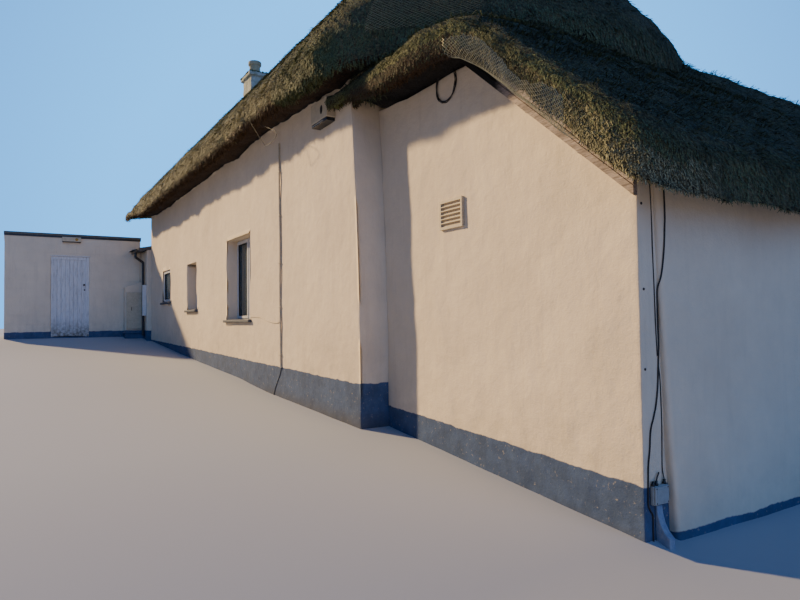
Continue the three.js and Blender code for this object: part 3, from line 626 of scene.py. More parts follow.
def new_tree(name, **inputs):
    """An empty geometry tree with its named inputs, and what its group input gives."""
    tree = bpy.data.node_groups.new(name, "GeometryNodeTree")
    tree.interface.new_socket("Geometry", in_out="INPUT", socket_type="NodeSocketGeometry")
    for label, value in inputs.items():
        kind = value if isinstance(value, str) else {float: "Float", int: "Int"}[type(value)]
        socket = tree.interface.new_socket(label, in_out="INPUT", socket_type=f"NodeSocket{kind}")
        if kind != value:
            socket.default_value = value
    tree.interface.new_socket("Geometry", in_out="OUTPUT", socket_type="NodeSocketGeometry")
    return tree, tree.nodes.new("NodeGroupInput").outputs


def close_tree(tree, geometry, material):
    """Makes what a tree gives real and gives it its material."""
    real = add_node(tree, "GeometryNodeRealizeInstances", (geometry,))
    made = add_node(tree, "GeometryNodeSetMaterial", {"Geometry": real, "Material": material})
    add_node(tree, "NodeGroupOutput", {"Geometry": made})
    return tree


def straw_tree():
    """Straw ends scattered over a surface and laid down its slope."""
    tree, given = new_tree("straw_ends", Density=900.0, Seed=1, Length=0.08, Width=0.005, Lift=0.3,
                           Wander=0.35, Material="Material")
    seed = given["Seed"]
    spots = add_node(tree, "GeometryNodeDistributePointsOnFaces", {
        "Mesh": given["Geometry"], "Density": given["Density"], "Seed": seed}, distribute_method="RANDOM")
    normal = spots.node.outputs["Normal"]
    slope = add_node(tree, VECTOR, {0: normal, 1: (0, 0, -1)}, "Value", operation="DOT_PRODUCT")
    back = add_node(tree, VECTOR, {0: normal, 3: slope}, operation="SCALE")
    down = add_node(tree, VECTOR, {0: (0, 0, -1), 1: back}, operation="SUBTRACT")
    lift = add_node(tree, VECTOR, {0: normal, 3: given["Lift"]}, operation="SCALE")
    stray = add_node(tree, "FunctionNodeRandomValue", {0: (-1, -1, -1), 1: (1, 1, 1), "Seed": seed},
                     data_type="FLOAT_VECTOR")
    wander = add_node(tree, VECTOR, {0: stray, 3: given["Wander"]}, operation="SCALE")
    raised = add_node(tree, VECTOR, (down, lift), operation="ADD")
    lay = add_node(tree, VECTOR, (raised, wander), operation="ADD")
    along = add_node(tree, "FunctionNodeAlignRotationToVector", {"Vector": lay}, axis="Y")
    turned = add_node(tree, "FunctionNodeAlignRotationToVector", {"Rotation": along, "Vector": normal},
                      axis="Z", pivot_axis="Y")
    blade = add_node(tree, "GeometryNodeMeshGrid", {
        "Size X": given["Width"], "Size Y": given["Length"], "Vertices X": 2, "Vertices Y": 2})
    half = add_node(tree, MATH, (given["Length"], 0.42), operation="MULTIPLY")
    root = add_node(tree, "ShaderNodeCombineXYZ", {"Y": half})
    placed = add_node(tree, "GeometryNodeTransform", {"Geometry": blade, "Translation": root})
    size = add_node(tree, "FunctionNodeRandomValue", {2: 0.45, 3: 1.25, "Seed": seed}, 1, data_type="FLOAT")
    blades = add_node(tree, "GeometryNodeInstanceOnPoints", {
        "Points": spots, "Instance": placed, "Rotation": turned, "Scale": size})
    return close_tree(tree, blades, given["Material"])


def wire_tree():
    """Round wire or cable along the edges of a mesh."""
    tree, given = new_tree("round_wire", Radius=0.0012, Sides=3, Material="Material")
    paths = add_node(tree, "GeometryNodeMeshToCurve", {"Mesh": given["Geometry"]})
    ring = add_node(tree, "GeometryNodeCurvePrimitiveCircle", {
        "Resolution": given["Sides"], "Radius": given["Radius"]})
    tube = add_node(tree, "GeometryNodeCurveToMesh", {
        "Curve": paths, "Profile Curve": ring, "Fill Caps": True})
    return close_tree(tree, tube, given["Material"])


def repeat_tree():
    """One shape repeated on points, turned and sized a little at random."""
    tree, given = new_tree("repeated_shape", Shape="Object", Seed=1, Turn=0.0, Smallest=1.0,
                           Material="Material")
    shape = add_node(tree, "GeometryNodeObjectInfo", {"Object": given["Shape"]}, "Geometry")
    turn = add_node(tree, MATH, (given["Turn"], -1.0), operation="MULTIPLY")
    spin = add_node(tree, "FunctionNodeRandomValue", {0: turn, 1: given["Turn"], "Seed": given["Seed"]},
                    data_type="FLOAT_VECTOR")
    size = add_node(tree, "FunctionNodeRandomValue", {
        2: given["Smallest"], 3: 1.0, "Seed": given["Seed"]}, 1, data_type="FLOAT")
    laid = add_node(tree, "GeometryNodeInstanceOnPoints", {
        "Points": given["Geometry"], "Instance": shape, "Rotation": spin, "Scale": size})
    return close_tree(tree, laid, given["Material"])


TREES = {}


def grown(name, host, maker, slot, kind, **settings):
    """A piece that a geometry tree makes from a host mesh, turned into a plain mesh."""
    if maker not in TREES:
        TREES[maker] = maker()
    holder = bpy.data.objects.new(f"{name}_host", host)
    bpy.context.scene.collection.objects.link(holder)
    modifier = holder.modifiers.new("nodes", "NODES")
    modifier.node_group = TREES[maker]
    settings["Material"] = finish(kind)
    for socket in TREES[maker].interface.items_tree:
        if socket.in_out == "INPUT" and socket.name in settings:
            modifier[socket.identifier] = settings[socket.name]
    bpy.context.view_layer.update()
    shaped = holder.evaluated_get(bpy.context.evaluated_depsgraph_get())
    mesh = bpy.data.meshes.new_from_object(shaped)
    bpy.data.objects.remove(holder)
    return settle(name, mesh, kind)


def repeated(name, spots, shape, slot, kind, seed, turn, smallest):
    """Copies of one shape on some spots, as a piece."""
    pattern = bpy.data.objects.new(shape.name, shape)
    grown(name, open_mesh("spots", spots), repeat_tree, slot, kind, Shape=pattern, Seed=seed, Turn=turn,
          Smallest=smallest)
    bpy.data.objects.remove(pattern)


def eased(points, steps=6):
    """A smooth line through places."""
    ends = [points[0] * 2 - points[1], *points, points[-1] * 2 - points[-2]]
    line = []
    for a, b, c, d in zip(ends, ends[1:], ends[2:], ends[3:]):
        for k in range(steps):
            t = k / steps
            line.append(0.5 * (2 * b + (c - a) * t + (2 * a - 5 * b + 4 * c - d) * t ** 2
                               + (3 * b - 3 * c + d - a) * t ** 3))
    return [*line, points[-1]]


def cable(name, points, radius, kind="cable", slot="black_plastic", sides=6):
    """A cable or pipe along a line of places, smoothed between them."""
    smooth = eased([Vector(p) for p in points])
    edges = [(i, i + 1) for i in range(len(smooth) - 1)]
    made = grown(name, open_mesh(name, smooth, edges), wire_tree, slot, kind, Radius=radius, Sides=sides)
    made.data.polygons.foreach_set("use_smooth", [True] * len(made.data.polygons))
    return made


def laid_on(surfaces, points, way, lift):
    """Places moved along a way until they lie a little proud of the first surface that they meet."""
    bpy.context.view_layer.update()
    way = Vector(way)
    laid = []
    for spot in map(Vector, points):
        start = spot - way * 0.2
        hits = [bpy.context.scene.objects[name].ray_cast(start, way, distance=0.35) for name in surfaces]
        met = [hit[1] for hit in hits if hit[0]]
        laid.append(min(met, key=lambda at: (at - start).length) - way * lift if met else spot)
    return laid


# Roof surfaces as heights over the plan, for arrays of places

def soft_lowest(heights, blend):
    low = np.minimum.reduce(heights)
    return low - blend * np.log(sum(np.exp((low - h) / blend) for h in heights))


def round_fall(inward, radius):
    t = np.clip(1 - inward / radius, 0, 1)
    return radius * (1 - np.sqrt(1 - t * t))


def lip_bottom(x):
    """Lower edge of the main eaves: level, with a lift at the verge and a fall at the hip."""
    fall = 0.07 * np.clip((x + 4.6) / 1.3, 0, 1)
    return LIP_BOTTOM - fall + 0.17 * np.clip((-13.2 - x) / 2, 0, 1)


def main_planes(x, y, drop):
    pitch = (RIDGE_TOP - LIP_TOP) / (RIDGE_Y - LIP_FRONT)
    front = LIP_TOP + pitch * (y - LIP_FRONT)
    rear = LIP_TOP + pitch * (LIP_REAR - y)
    hip = RIDGE_TOP - HIP_FALL * (x - RIDGE_EAST + HIP_BOW * (y - RIDGE_Y) ** 2)
    return soft_lowest([front, rear, hip], BLEND) - drop


def verge_x(y):
    return VERGE_WEST - VERGE_LEAN * (RIDGE_Y - LIP_FRONT - np.abs(y - RIDGE_Y))


def hip_foot(y):
    """Where the hip ends over the lower roof."""
    return FOOT_EAST - FOOT_BOW * (y - RIDGE_Y) ** 2


def main_inward(x, y):
    along = np.minimum(x - verge_x(y), hip_foot(y) - x)
    return np.minimum(np.minimum(y - LIP_FRONT, LIP_REAR - y), along)


def main_top(x, y):
    return main_planes(x, y, 0) - round_fall(main_inward(x, y), NOSE)


def main_under(x, y):
    soffit = lip_bottom(x) + SOFFIT_CLIMB * np.minimum(y - LIP_FRONT, LIP_REAR - y)
    over_outshut = (x > OUT_WEST - 0.1) & (y > OUT_FRONT - 0.25)
    soffit = np.where(over_outshut, OUT_COVERED, soffit)
    under = np.maximum(main_planes(x, y, COAT_RISE), soffit)
    return under + round_fall(main_inward(x, y), NOSE_UNDER)


def crest(y):
    return CREST_TOP - CREST_ROLL - CREST_SAG * (y - CREST_Y) ** 2


def out_lip_y(x):
    return np.interp(x, *zip(*OUT_LIP))


def out_inward(x, y):
    west = np.where(y > 4.25, x - SLOPE_WEST, np.where(y < -0.5, x - OUT_TIP, 9.5))
    front, east = y - out_lip_y(x), SLOPE_EAST - x
    corner = OUT_CORNER - np.hypot(np.maximum(OUT_CORNER - front, 0), np.maximum(OUT_CORNER - east, 0))
    return np.minimum.reduce([front, OUT_LIP_REAR - y, east + 0 * y, corner, west])


def rounded_corner(x, y):
    """Draws places of the low coat's plan in round its near corner."""
    east, front = (np.maximum(1 - d / OUT_CORNER, 0) for d in (SLOPE_EAST - x, y - out_lip_y(x)))
    over_x = OUT_CORNER * east * (1 - np.sqrt(1 - front ** 2 / 2))
    over_y = OUT_CORNER * front * (1 - np.sqrt(1 - east ** 2 / 2))
    return x - over_x, y + over_y


def out_edge_y(x):
    """Front edge of the low coat, round its near corner."""
    over = np.clip(x - SLOPE_EAST + OUT_CORNER, 0, OUT_CORNER)
    return out_lip_y(x) + OUT_CORNER - np.sqrt(OUT_CORNER ** 2 - over ** 2)


def out_planes(x, y, top, drop):
    east = SLOPE_TOP - drop + SLOPE_FALL * (SLOPE_EAST - x)
    west = SLOPE_WEST_TOP - drop + SLOPE_FALL * (x - SLOPE_WEST) + 3 * np.maximum(0, LIP_REAR - y)
    return soft_lowest([top, east, west], OUT_BLEND)


def out_top(x, y):
    return out_planes(x, y, crest(y) + CREST_ROLL, 0) - round_fall(out_inward(x, y), OUT_NOSE)


def out_under(x, y):
    top = np.maximum(CREST_SOFFIT, crest(y) - CREST_COVER)
    reach = np.maximum(OUT_FRONT - out_lip_y(x), 0.001)
    lip = np.interp(x, *zip(*LIP_HANG)) * np.clip((OUT_FRONT - y) / reach, 0, 1)
    return out_planes(x, y, top, SLOPE_RISE) - lip + round_fall(out_inward(x, y), OUT_NOSE_UNDER)


def rake_line(x):
    """Lower edge of the rake boards."""
    return RAKE_AT[1] - SLOPE_FALL * (x - RAKE_AT[0])


# Grids over the plan, and what lies on them

def fine_rows(low, high, step, round_low=True, round_high=True, whole=False):
    """Places from low to high, closer at a rounded edge; whole counts the steps over the full width."""
    start = [low + d for d in NOSE_ROWS] if round_low else [low]
    end = [high - d for d in reversed(NOSE_ROWS)] if round_high else [high]
    wide = high - low if whole else end[0] - start[-1]
    middle = np.linspace(start[-1], end[0], max(2, int(wide / step)) + 1)[1:-1]
    return np.array([*start, *middle, *end])


def main_grid(step_near, step_far):
    """Plan of the main coat: columns across, closer together towards the outshut."""
    ys = fine_rows(LIP_FRONT, LIP_REAR, step_near * 1.3)
    ys[np.argmin(np.abs(ys - RIDGE_Y))] = RIDGE_Y
    inner = np.concatenate([np.arange(-14.9, -7.0, step_far), np.arange(-7.0, -3.7, step_near)])
    nose = np.array(NOSE_ROWS)
    columns = [verge_x(ys) + d for d in nose] + [np.full_like(ys, x) for x in inner]
    last = inner[-1]
    count = int((FOOT_EAST - nose[-1] - last) / step_near)
    columns += [last + (hip_foot(ys) - nose[-1] - last) * k / count for k in range(1, count + 1)]
    columns += [hip_foot(ys) - d for d in nose[-2::-1]]
    return np.array(columns), np.tile(ys, (len(columns), 1))


def out_grid(west, east, front, rear, step):
    """Plan of a stretch of the outshut's coat; a side that is None is the coat's own edge."""
    xs = fine_rows(SLOPE_WEST if west is None else west, SLOPE_EAST if east is None else east, step,
                   west is None, east is None)
    high = OUT_LIP_REAR if rear is None else rear
    columns = [fine_rows(float(out_lip_y(x)) if front is None else front, high, step, front is None,
                         rear is None, True) for x in xs]
    rows = min(len(c) for c in columns)
    columns = [np.interp(np.linspace(0, 1, rows), np.linspace(0, 1, len(c)), c) for c in columns]
    return rounded_corner(np.tile(xs[:, None], (1, rows)), np.array(columns))


def shell_mesh(grid_x, grid_y, top, under, edge_rows=3):
    """A closed coat: its top and underside over one grid, joined round the edge by rows down the nose."""
    verts = [np.stack([grid_x, grid_y, side(grid_x, grid_y)], -1).reshape(-1, 3) for side in (top, under)]
    cols, rows = grid_x.shape
    lower = cols * rows
    i, j = np.meshgrid(np.arange(cols - 1), np.arange(rows - 1), indexing="ij")
    a = (i * rows + j).ravel()
    quads = [np.stack([a, a + rows, a + rows + 1, a + 1], -1),
             np.stack([lower + a, lower + a + 1, lower + a + rows + 1, lower + a + rows], -1)]
    ring = np.concatenate([np.arange(cols) * rows, (cols - 1) * rows + np.arange(1, rows),
                           (np.arange(cols - 1)[::-1]) * rows + rows - 1, np.arange(1, rows - 1)[::-1]])
    flat, foot = verts[0][ring], verts[1][ring]
    rings = [ring]
    for k in range(1, edge_rows + 1):
        share = k / (edge_rows + 1)
        verts.append(flat * (1 - share) + foot * share)
        rings.append(2 * lower + (k - 1) * len(ring) + np.arange(len(ring)))
    rings.append(lower + ring)
    for upper, below in zip(rings, rings[1:]):
        quads.append(np.stack([upper, below, np.roll(below, -1), np.roll(upper, -1)], -1))
    return np.concatenate(verts), np.concatenate(quads).tolist()


def ruffled(verts, quads, seed, depth):
    """Moves a coat's points in and out along their normals, in lumps and tufts, and mostly in."""
    mesh = open_mesh("ruffle", verts, (), quads)
    normals = np.zeros(len(verts) * 3)
    mesh.vertex_normals.foreach_get("vector", normals)
    bpy.data.meshes.remove(mesh)
    shift = Vector((seed, seed * 0.7, 0))
    lift = [noise.fractal(Vector(v) / 0.9 + shift, 0.7, 2.1, 3) * depth
            + noise.fractal(Vector(v) / 0.16 - shift, 0.8, 2.0, 3) * depth * 0.55 for v in verts]
    return verts + normals.reshape(-1, 3) * (np.array(lift) - 0.45 * depth)[:, None]


def part_of(verts, quads, keep):
    """The faces of a coat whose middles pass a test, as a host for straw."""
    chosen = np.array(quads)[keep(*verts[np.array(quads)].mean(axis=1).T)]
    used, index = np.unique(chosen, return_inverse=True)
    return open_mesh("host", verts[used], (), index.reshape(-1, 4))


def main_profile(x):
    """Places of the main coat from its front or hip edge up the slope, at one x."""
    edge = max(LIP_FRONT, RIDGE_Y - math.sqrt(max(FOOT_EAST - x, 0) / FOOT_BOW))
    return np.array([(edge + d, float(main_top(x, edge + d))) for d in np.linspace(0.0, 0.55, 40)])


def lip_profile(x):
    """Places from under the outshut's front lip to part of the way up its face, at one x."""
    lip = float(out_edge_y(x))
    under = [(lip + d, float(out_under(x, lip + d))) for d in np.linspace(0.1, 0.0, 8)]
    foot, top = under[-1][1], float(out_top(x, lip))
    climb = 0.72 + 0.5 * noise.noise(Vector((x * 2.7, 0, 5.0)))
    return np.array(under + [(lip, foot + (top - foot) * climb)])


def netting_lines(profile_at, cell, west, east, lift):
    """Places and joins of netting cells laid over a lip, spaced along the surface and a lift off it."""
    xs = np.linspace(west, east, 220)
    heights = np.array([profile_at(x)[8, 1] for x in xs])
    run = np.concatenate([[0], np.cumsum(np.hypot(np.diff(xs), np.diff(heights)))])
    pitch, rows = cell * 0.75, 2 * int(2.2 / cell)
    verts, edges, index = [], [], {}

    def place(i, j):
        if (i, j) not in index:
            x = float(np.interp(i * pitch, run, xs))
            profile = profile_at(x)
            along = np.concatenate([[0], np.cumsum(np.hypot(*np.diff(profile, axis=0).T))])
            at = j * cell * 0.5
            if at > along[-1]:
                index[i, j] = None
                return None
            y, z = (float(np.interp(at, along, profile[:, k])) for k in (0, 1))
            rise = lift + noise.noise(Vector((x, y, z)) * 4) * 0.02
            step = (float(np.interp(at + 0.03, along, profile[:, k])) for k in (0, 1))
            dy, dz = (b - a for a, b in zip((y, z), step))
            size = math.hypot(dy, dz) or 1
            index[i, j] = len(verts)
            verts.append((x, y - dz / size * rise, z + dy / size * rise))
        return index[i, j]

    for i in range(int(run[-1] / pitch)):
        for j in range(i % 2, rows, 2):
            here = place(i, j)
            for other in (j + 1, j - 1):
                if 0 <= other < rows:
                    there = place(i + 1, other)
                    if here is not None and there is not None:
                        edges.append((here, there))
    return verts, edges


# Operators

def paint_nodes(kind, *nodes):
    """Gives CAD nodes that keep their shape a finish."""
    for node in nodes:
        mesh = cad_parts[node].data
        mesh.materials.clear()
        mesh.materials.append(finish(kind))


class COTTAGE_OT_stage(bpy.types.Operator):
    """Sets the camera, a low warm key light, a soft sky and a plain pale floor along the ground line"""

    bl_idname = "cottage.stage"
    bl_label = "Stage"

    def execute(self, context):
        lens = bpy.data.cameras.new("lane_camera")
        lens.lens, lens.sensor_width, lens.clip_end = LENS_MM, SENSOR_MM, FAR_CLIP
        eye = bpy.data.objects.new("lane_camera", lens)
        turn = Matrix((EYE_RIGHT, EYE_UP, EYE_BACK)).transposed()
        eye.matrix_world = Matrix.Translation(EYE) @ turn.to_4x4()
        context.scene.collection.objects.link(eye)
        context.scene.camera = eye
        for name, power, spread, colour, way in LIGHTS:
            light = bpy.data.lights.new(name, "SUN")
            light.energy, light.angle, light.color = power, math.radians(spread), linear(colour)[:3]
            lamp = bpy.data.objects.new(name, light)
            lamp.rotation_mode = "QUATERNION"
            lamp.rotation_quaternion = Vector(way).to_track_quat("-Z", "Y")
            context.scene.collection.objects.link(lamp)
        self.sky(context)
        self.floor(context)
        return {"FINISHED"}

    def sky(self, context):
        """A plain blue sky, brighter towards the north-west horizon behind the building."""
        world = bpy.data.worlds.new("soft_sky")
        context.scene.world = world
        world.use_nodes = True
        tree = world.node_tree
        way = add_node(tree, "ShaderNodeTexCoord", {}, "Generated")
        facing = add_node(tree, VECTOR, (way, SKY_BRIGHT_WAY), "Value", operation="DOT_PRODUCT")
        near, power = (add_node(tree, RANGE, (facing, 0.45, 0.9, *ends))
                       for ends in ((0, 1), (SKY_FILL, SKY_GLOW)))
        backdrop = tree.nodes["Background"]
        tree.links.new(layered(tree, "#6398f0", (near, "#52b0ff")), backdrop.inputs[0])
        tree.links.new(power, backdrop.inputs[1])

    def floor(self, context):
        """A plain sheet that rises with the ground along the front."""
        verts = [(x, y, z) for x, z in GROUND for y in (-FLOOR_REACH, FLOOR_REACH)]
        faces = [(a, a + 2, a + 3, a + 1) for a in range(0, 2 * len(GROUND) - 2, 2)]
        mesh = open_mesh("stage_floor", verts, (), faces)
        mesh.polygons.foreach_set("use_smooth", [True] * len(mesh.polygons))
        mat, _tree, shader, _place = new_material("matt_floor_paint", 0.95)
        shader.inputs["Base Color"].default_value = linear(context.scene.cottage_colours.floor)
        mesh.materials.append(mat)
        made = bpy.data.objects.new("stage_floor", mesh)
        context.scene.collection.objects.link(made)


class COTTAGE_OT_walls(bpy.types.Operator):
    """Plasters and paints the walls of the main range and the outshut"""

    bl_idname = "cottage.walls"
    bl_label = "Walls"

    def execute(self, _context):
        for name, node, paint, step, bent in (
                ("front_wall", "front_wall", "front_paint", 0.11, return_lean),
                ("rear_wall", "rear_wall", "front_paint", 0.3, upright),
                ("west_gable", "west_gable_wall", "west_paint", 0.3, upright),
                ("outshut_front", "outshut_front_wall", "outshut_paint", 0.07, return_lean),
                ("outshut_east", "outshut_east_wall", "east_paint", 0.12, step_lean),
                ("outshut_rear", "outshut_rear_wall", "east_paint", 0.3, upright),
                ("outshut_west", "outshut_west_wall", "outshut_paint", 0.3, upright)):
            rendered(f"{name}_render", paint, [node], step, bent=bent)
        paint_nodes("front_paint", "east_end_wall")
        paint_nodes("screed", "main_floor", "outshut_floor", "outhouse_floor")
        return {"FINISHED"}


class COTTAGE_OT_thatch(bpy.types.Operator):
    """Lays the two coats of thatch with their loose straw and their wire netting"""

    bl_idname = "cottage.thatch"
    bl_label = "Thatch"

    def execute(self, context):
        main = shell_mesh(*main_grid(0.07, 0.13), main_top, main_under)
        self.main_straw(context, self.coat("main", *main, 3.0, 0.045))
        verts, quads = np.zeros((0, 3)), []
        for side in ((OUT_WEST + 0.01, None, None, None), (None, OUT_WEST + 0.01, None, -0.5),
                     (None, OUT_WEST + 0.01, 4.1, None)):
            more, faces = shell_mesh(*out_grid(*side, 0.07), out_top, out_under)
            quads += [[i + len(verts) for i in face] for face in faces]
            verts = np.concatenate([verts, more])
        self.outshut_straw(context, self.coat("outshut", verts, quads, 7.0, 0.04))
        self.netting(context)
        return {"FINISHED"}

    def coat(self, name, verts, quads, seed, depth):
        """A coat with its lumps, in place of its solid."""
        verts = ruffled(verts, quads, seed, depth)
        mesh = open_mesh(f"{name}_coat", verts, (), quads)
        mesh.validate()
        settle(f"{name}_coat", mesh, f"{name}_thatch", BUILDING, [f"{name}_thatch"], True)
        return verts, quads

    def straw(self, context, coat, groups):
        """Straw on parts of a coat: name, where, density, seed, finish, length, lift, wander and width."""
        for name, keep, density, seed, kind, long, lift, wander, wide in groups:
            grown(name, part_of(*coat, keep), straw_tree, "thatch", kind, Density=density, Seed=seed,
                  Length=context.scene.cottage_sizes.straw_long * long, Width=wide, Lift=lift, Wander=wander)

    def main_straw(self, context, coat):
        """Moss and straw on the slopes, and the combed ends along the eaves."""

        def slope(x, y, z):
            return z > main_planes(x, y, 0.35)

        def lip(x, y, z):
            return (np.minimum(y - LIP_FRONT, x - verge_x(y)) < 0.2) & (z < main_planes(x, y, 0.08))

        def eaves(x, y, z):
            return lip(x, y, z) & (x < EAVES_COVERED)

        end = 0.8, 0.2, 0.5, 0.006
        self.straw(context, coat, (
            ("front_slope_moss", lambda x, y, z: slope(x, y, z) & (y < RIDGE_Y),
             1100, 11, "moss_blades", 0.7, 0.15, 0.3, 0.009),
            ("rear_slope_moss", lambda x, y, z: slope(x, y, z) & (y >= RIDGE_Y),
             400, 12, "moss_blades", 0.8, 0.12, 0.25, 0.012),
            ("front_eaves_straw", lambda x, y, z: eaves(x, y, z) & (z > lip_bottom(x) + 0.09),
             6500, 13, "straw", *end),
            ("front_eaves_brown_straw", lambda x, y, z: eaves(x, y, z) & (z <= lip_bottom(x) + 0.09),
             6500, 15, "brown_straw", *end),
            ("covered_eaves_moss", lambda x, y, z: lip(x, y, z) & (x >= EAVES_COVERED),
             6500, 16, "moss_blades", *end),
            ("rear_eaves_straw", lambda x, y, z: (np.minimum(LIP_REAR - y, hip_foot(y) - x) < 0.16)
             & (z < main_planes(x, y, 0.12)), 2400, 14, "moss_blades", 0.7, 0.15, 0.35, 0.008)))

    def outshut_straw(self, context, coat):
        """Moss on the low slopes, and straw round the lip: eyebrow, rake, corner and east."""

        def below(x, y, drop):
            return out_planes(x, y, crest(y) + CREST_ROLL, 0) - drop

        def lip(x, y, z):
            return (out_inward(x, y) < 0.2) & (z < below(x, y, 0.08))

        def brow(x, y, z):
            return lip(x, y, z) & (y < FAR_NORTH) & (x < BROW_EAST)

        def rake(x, y, z):
            return lip(x, y, z) & (y < 0.1) & (x >= BROW_EAST)

        end = 0.46, 0.22, 0.6, 0.0045
        self.straw(context, coat, (
            ("outshut_slope_moss", lambda x, y, z: (z > below(x, y, 0.3)) & (y < FAR_NORTH),
             2300, 21, "moss_blades", 0.6, 0.2, 0.4, 0.006),
            ("outshut_far_moss", lambda x, y, z: (z > below(x, y, 0.3)) & (y >= FAR_NORTH),
             500, 22, "moss_blades", 0.9, 0.15, 0.3, 0.01),
            # Painted highlight: the eyebrow's crest gets the brighter moss where the sun catches it
            ("brow_crest_moss", lambda x, y, z: brow(x, y, z) & (z > below(x, y, 0.17)),
             9000, 25, "sunlit_moss", *end),
            ("brow_brown_straw", lambda x, y, z: brow(x, y, z) & (z <= below(x, y, 0.17)),
             9000, 26, "brown_straw", *end),
            ("rake_crest_moss", lambda x, y, z: rake(x, y, z) & (z > below(x, y, 0.19)),
             9000, 28, "moss_blades", *end),
            ("rake_lip_straw", lambda x, y, z: rake(x, y, z) & (z <= below(x, y, 0.19)) & (x < -0.25),
             9000, 23, "netted_straw", *end),
            ("corner_lip_straw", lambda x, y, z: rake(x, y, z) & (z <= below(x, y, 0.19)) & (x >= -0.25),
             9000, 29, "straw", *end),
            ("east_lip_moss", lambda x, y, z: lip(x, y, z) & (x >= BROW_EAST) & (y >= 0.1) & (y < FAR_NORTH),
             5000, 27, "moss_blades", *end),
            ("outshut_far_straw", lambda x, y, z: lip(x, y, z) & (y >= FAR_NORTH),
             2600, 24, "moss_blades", 0.8, 0.25, 0.5, 0.007)))

    def netting(self, context):
        """Wire netting over the rake's lip, finer under the eyebrow and on the main coat above it."""
        cell = context.scene.cottage_sizes.mesh_cell
        for name, profile, west, east, lift, radius, kind in (
                ("rake_netting", lip_profile, -1.35, -0.12, 0.034, 0.0017, "wire"),
                ("brow_netting", lip_profile, -3.25, -1.37, 0.03, 0.0011, "iron"),
                ("main_netting", main_profile, -2.6, -1.8, 0.045, 0.0011, "wire")):
            net = open_mesh("net", *netting_lines(profile, cell, west, east, lift))
            grown(name, net, wire_tree, "thatch", kind, Radius=radius, Sides=3)


class COTTAGE_OT_openings(bpy.types.Operator):
    """Finishes the window frames, their sashes, panes and sills, and the rear door"""

    bl_idname = "cottage.openings"
    bl_label = "Windows"

    def execute(self, _context):
        for name, *how in SASHES:
            rounded_node(f"{name}_bars", f"{name}_frame", "upvc")
            rounded_node(f"{name}_slate", f"{name}_sill", "slate", 0.008)
            paint_nodes("glass", f"{name}_glass")
            self.sashes(name, *how)
        boards("rear_door_boards", (-10.499, -9.601), (0.902, 2.949), (3.862, 3.918), 0, 6, BUILDING,
               ["rear_door"])
        return {"FINISHED"}

    def sashes(self, name, left, right, foot, head, face, out, lights):
        """A narrow opening sash in front of each light, with a dark gasket inside it."""
        wide = (right - left) / lights
        z0, z1 = foot + 0.022, head - 0.022
        for k in range(lights):
            x0, x1 = left + k * wide + 0.022, left + (k + 1) * wide - 0.022
            for part, kind, inset, near, far, bar, width in (
                    ("sash", "upvc", 0.0, 0.001, 0.016, 0.042, 0.003),
                    ("gasket", "black", 0.041, -0.02, 0.004, 0.006, 0.001)):
                deep = sorted((face + out * near, face + out * far))
                ring = ring_mesh((x0 + inset, x1 - inset), (z0 + inset, z1 - inset), deep, bar)
                rounded_piece(f"{name}_{part}_{k}", ring, kind, width)


class COTTAGE_OT_chimney(bpy.types.Operator):
    """Finishes the chimney stack and its pot, with moss along the cap"""

    bl_idname = "cottage.chimney"
    bl_label = "Chimney"

    def execute(self, _context):
        plastered("chimney_masonry", loose_copy("chimney_stack"), "brick",
                  ["chimney_stack"], (0.08, 0.08, 0.12), 0.03, (0.2, 0.016), lowest=-0.02)
        cap = 8.3802
        outline = [(r, cap + h) for r, h in (
            (0.122, 0), (0.164, 0), (0.158, 0.03), (0.15, 0.06), (0.146, 0.27), (0.152, 0.285),
            (0.174, 0.295), (0.18, 0.32), (0.18, 0.38), (0.172, 0.398), (0.134, 0.398), (0.122, 0.385),
            (0.12, 0.2), (0.122, 0))]
        turned_piece("chimney_clay_pot", outline, (-14.13, 2.085, 0), (0, 0, 1), "clay",
                     replaced=["chimney_pot"])
        west, east = -14.54, -13.72
        rim = [(x, y) for x in np.linspace(west, east, 40) for y in (1.815, 2.355)]
        rim += [(x, y) for y in np.linspace(1.82, 2.35, 26) for x in (west, east)]
        repeated("cap_moss", [(x, y, 8.376) for x, y in rim], lump("moss_cushion", 0.035, 3),
                 "chimney_brick", "moss_blades", 5, 3.0, 0.3)
        return {"FINISHED"}


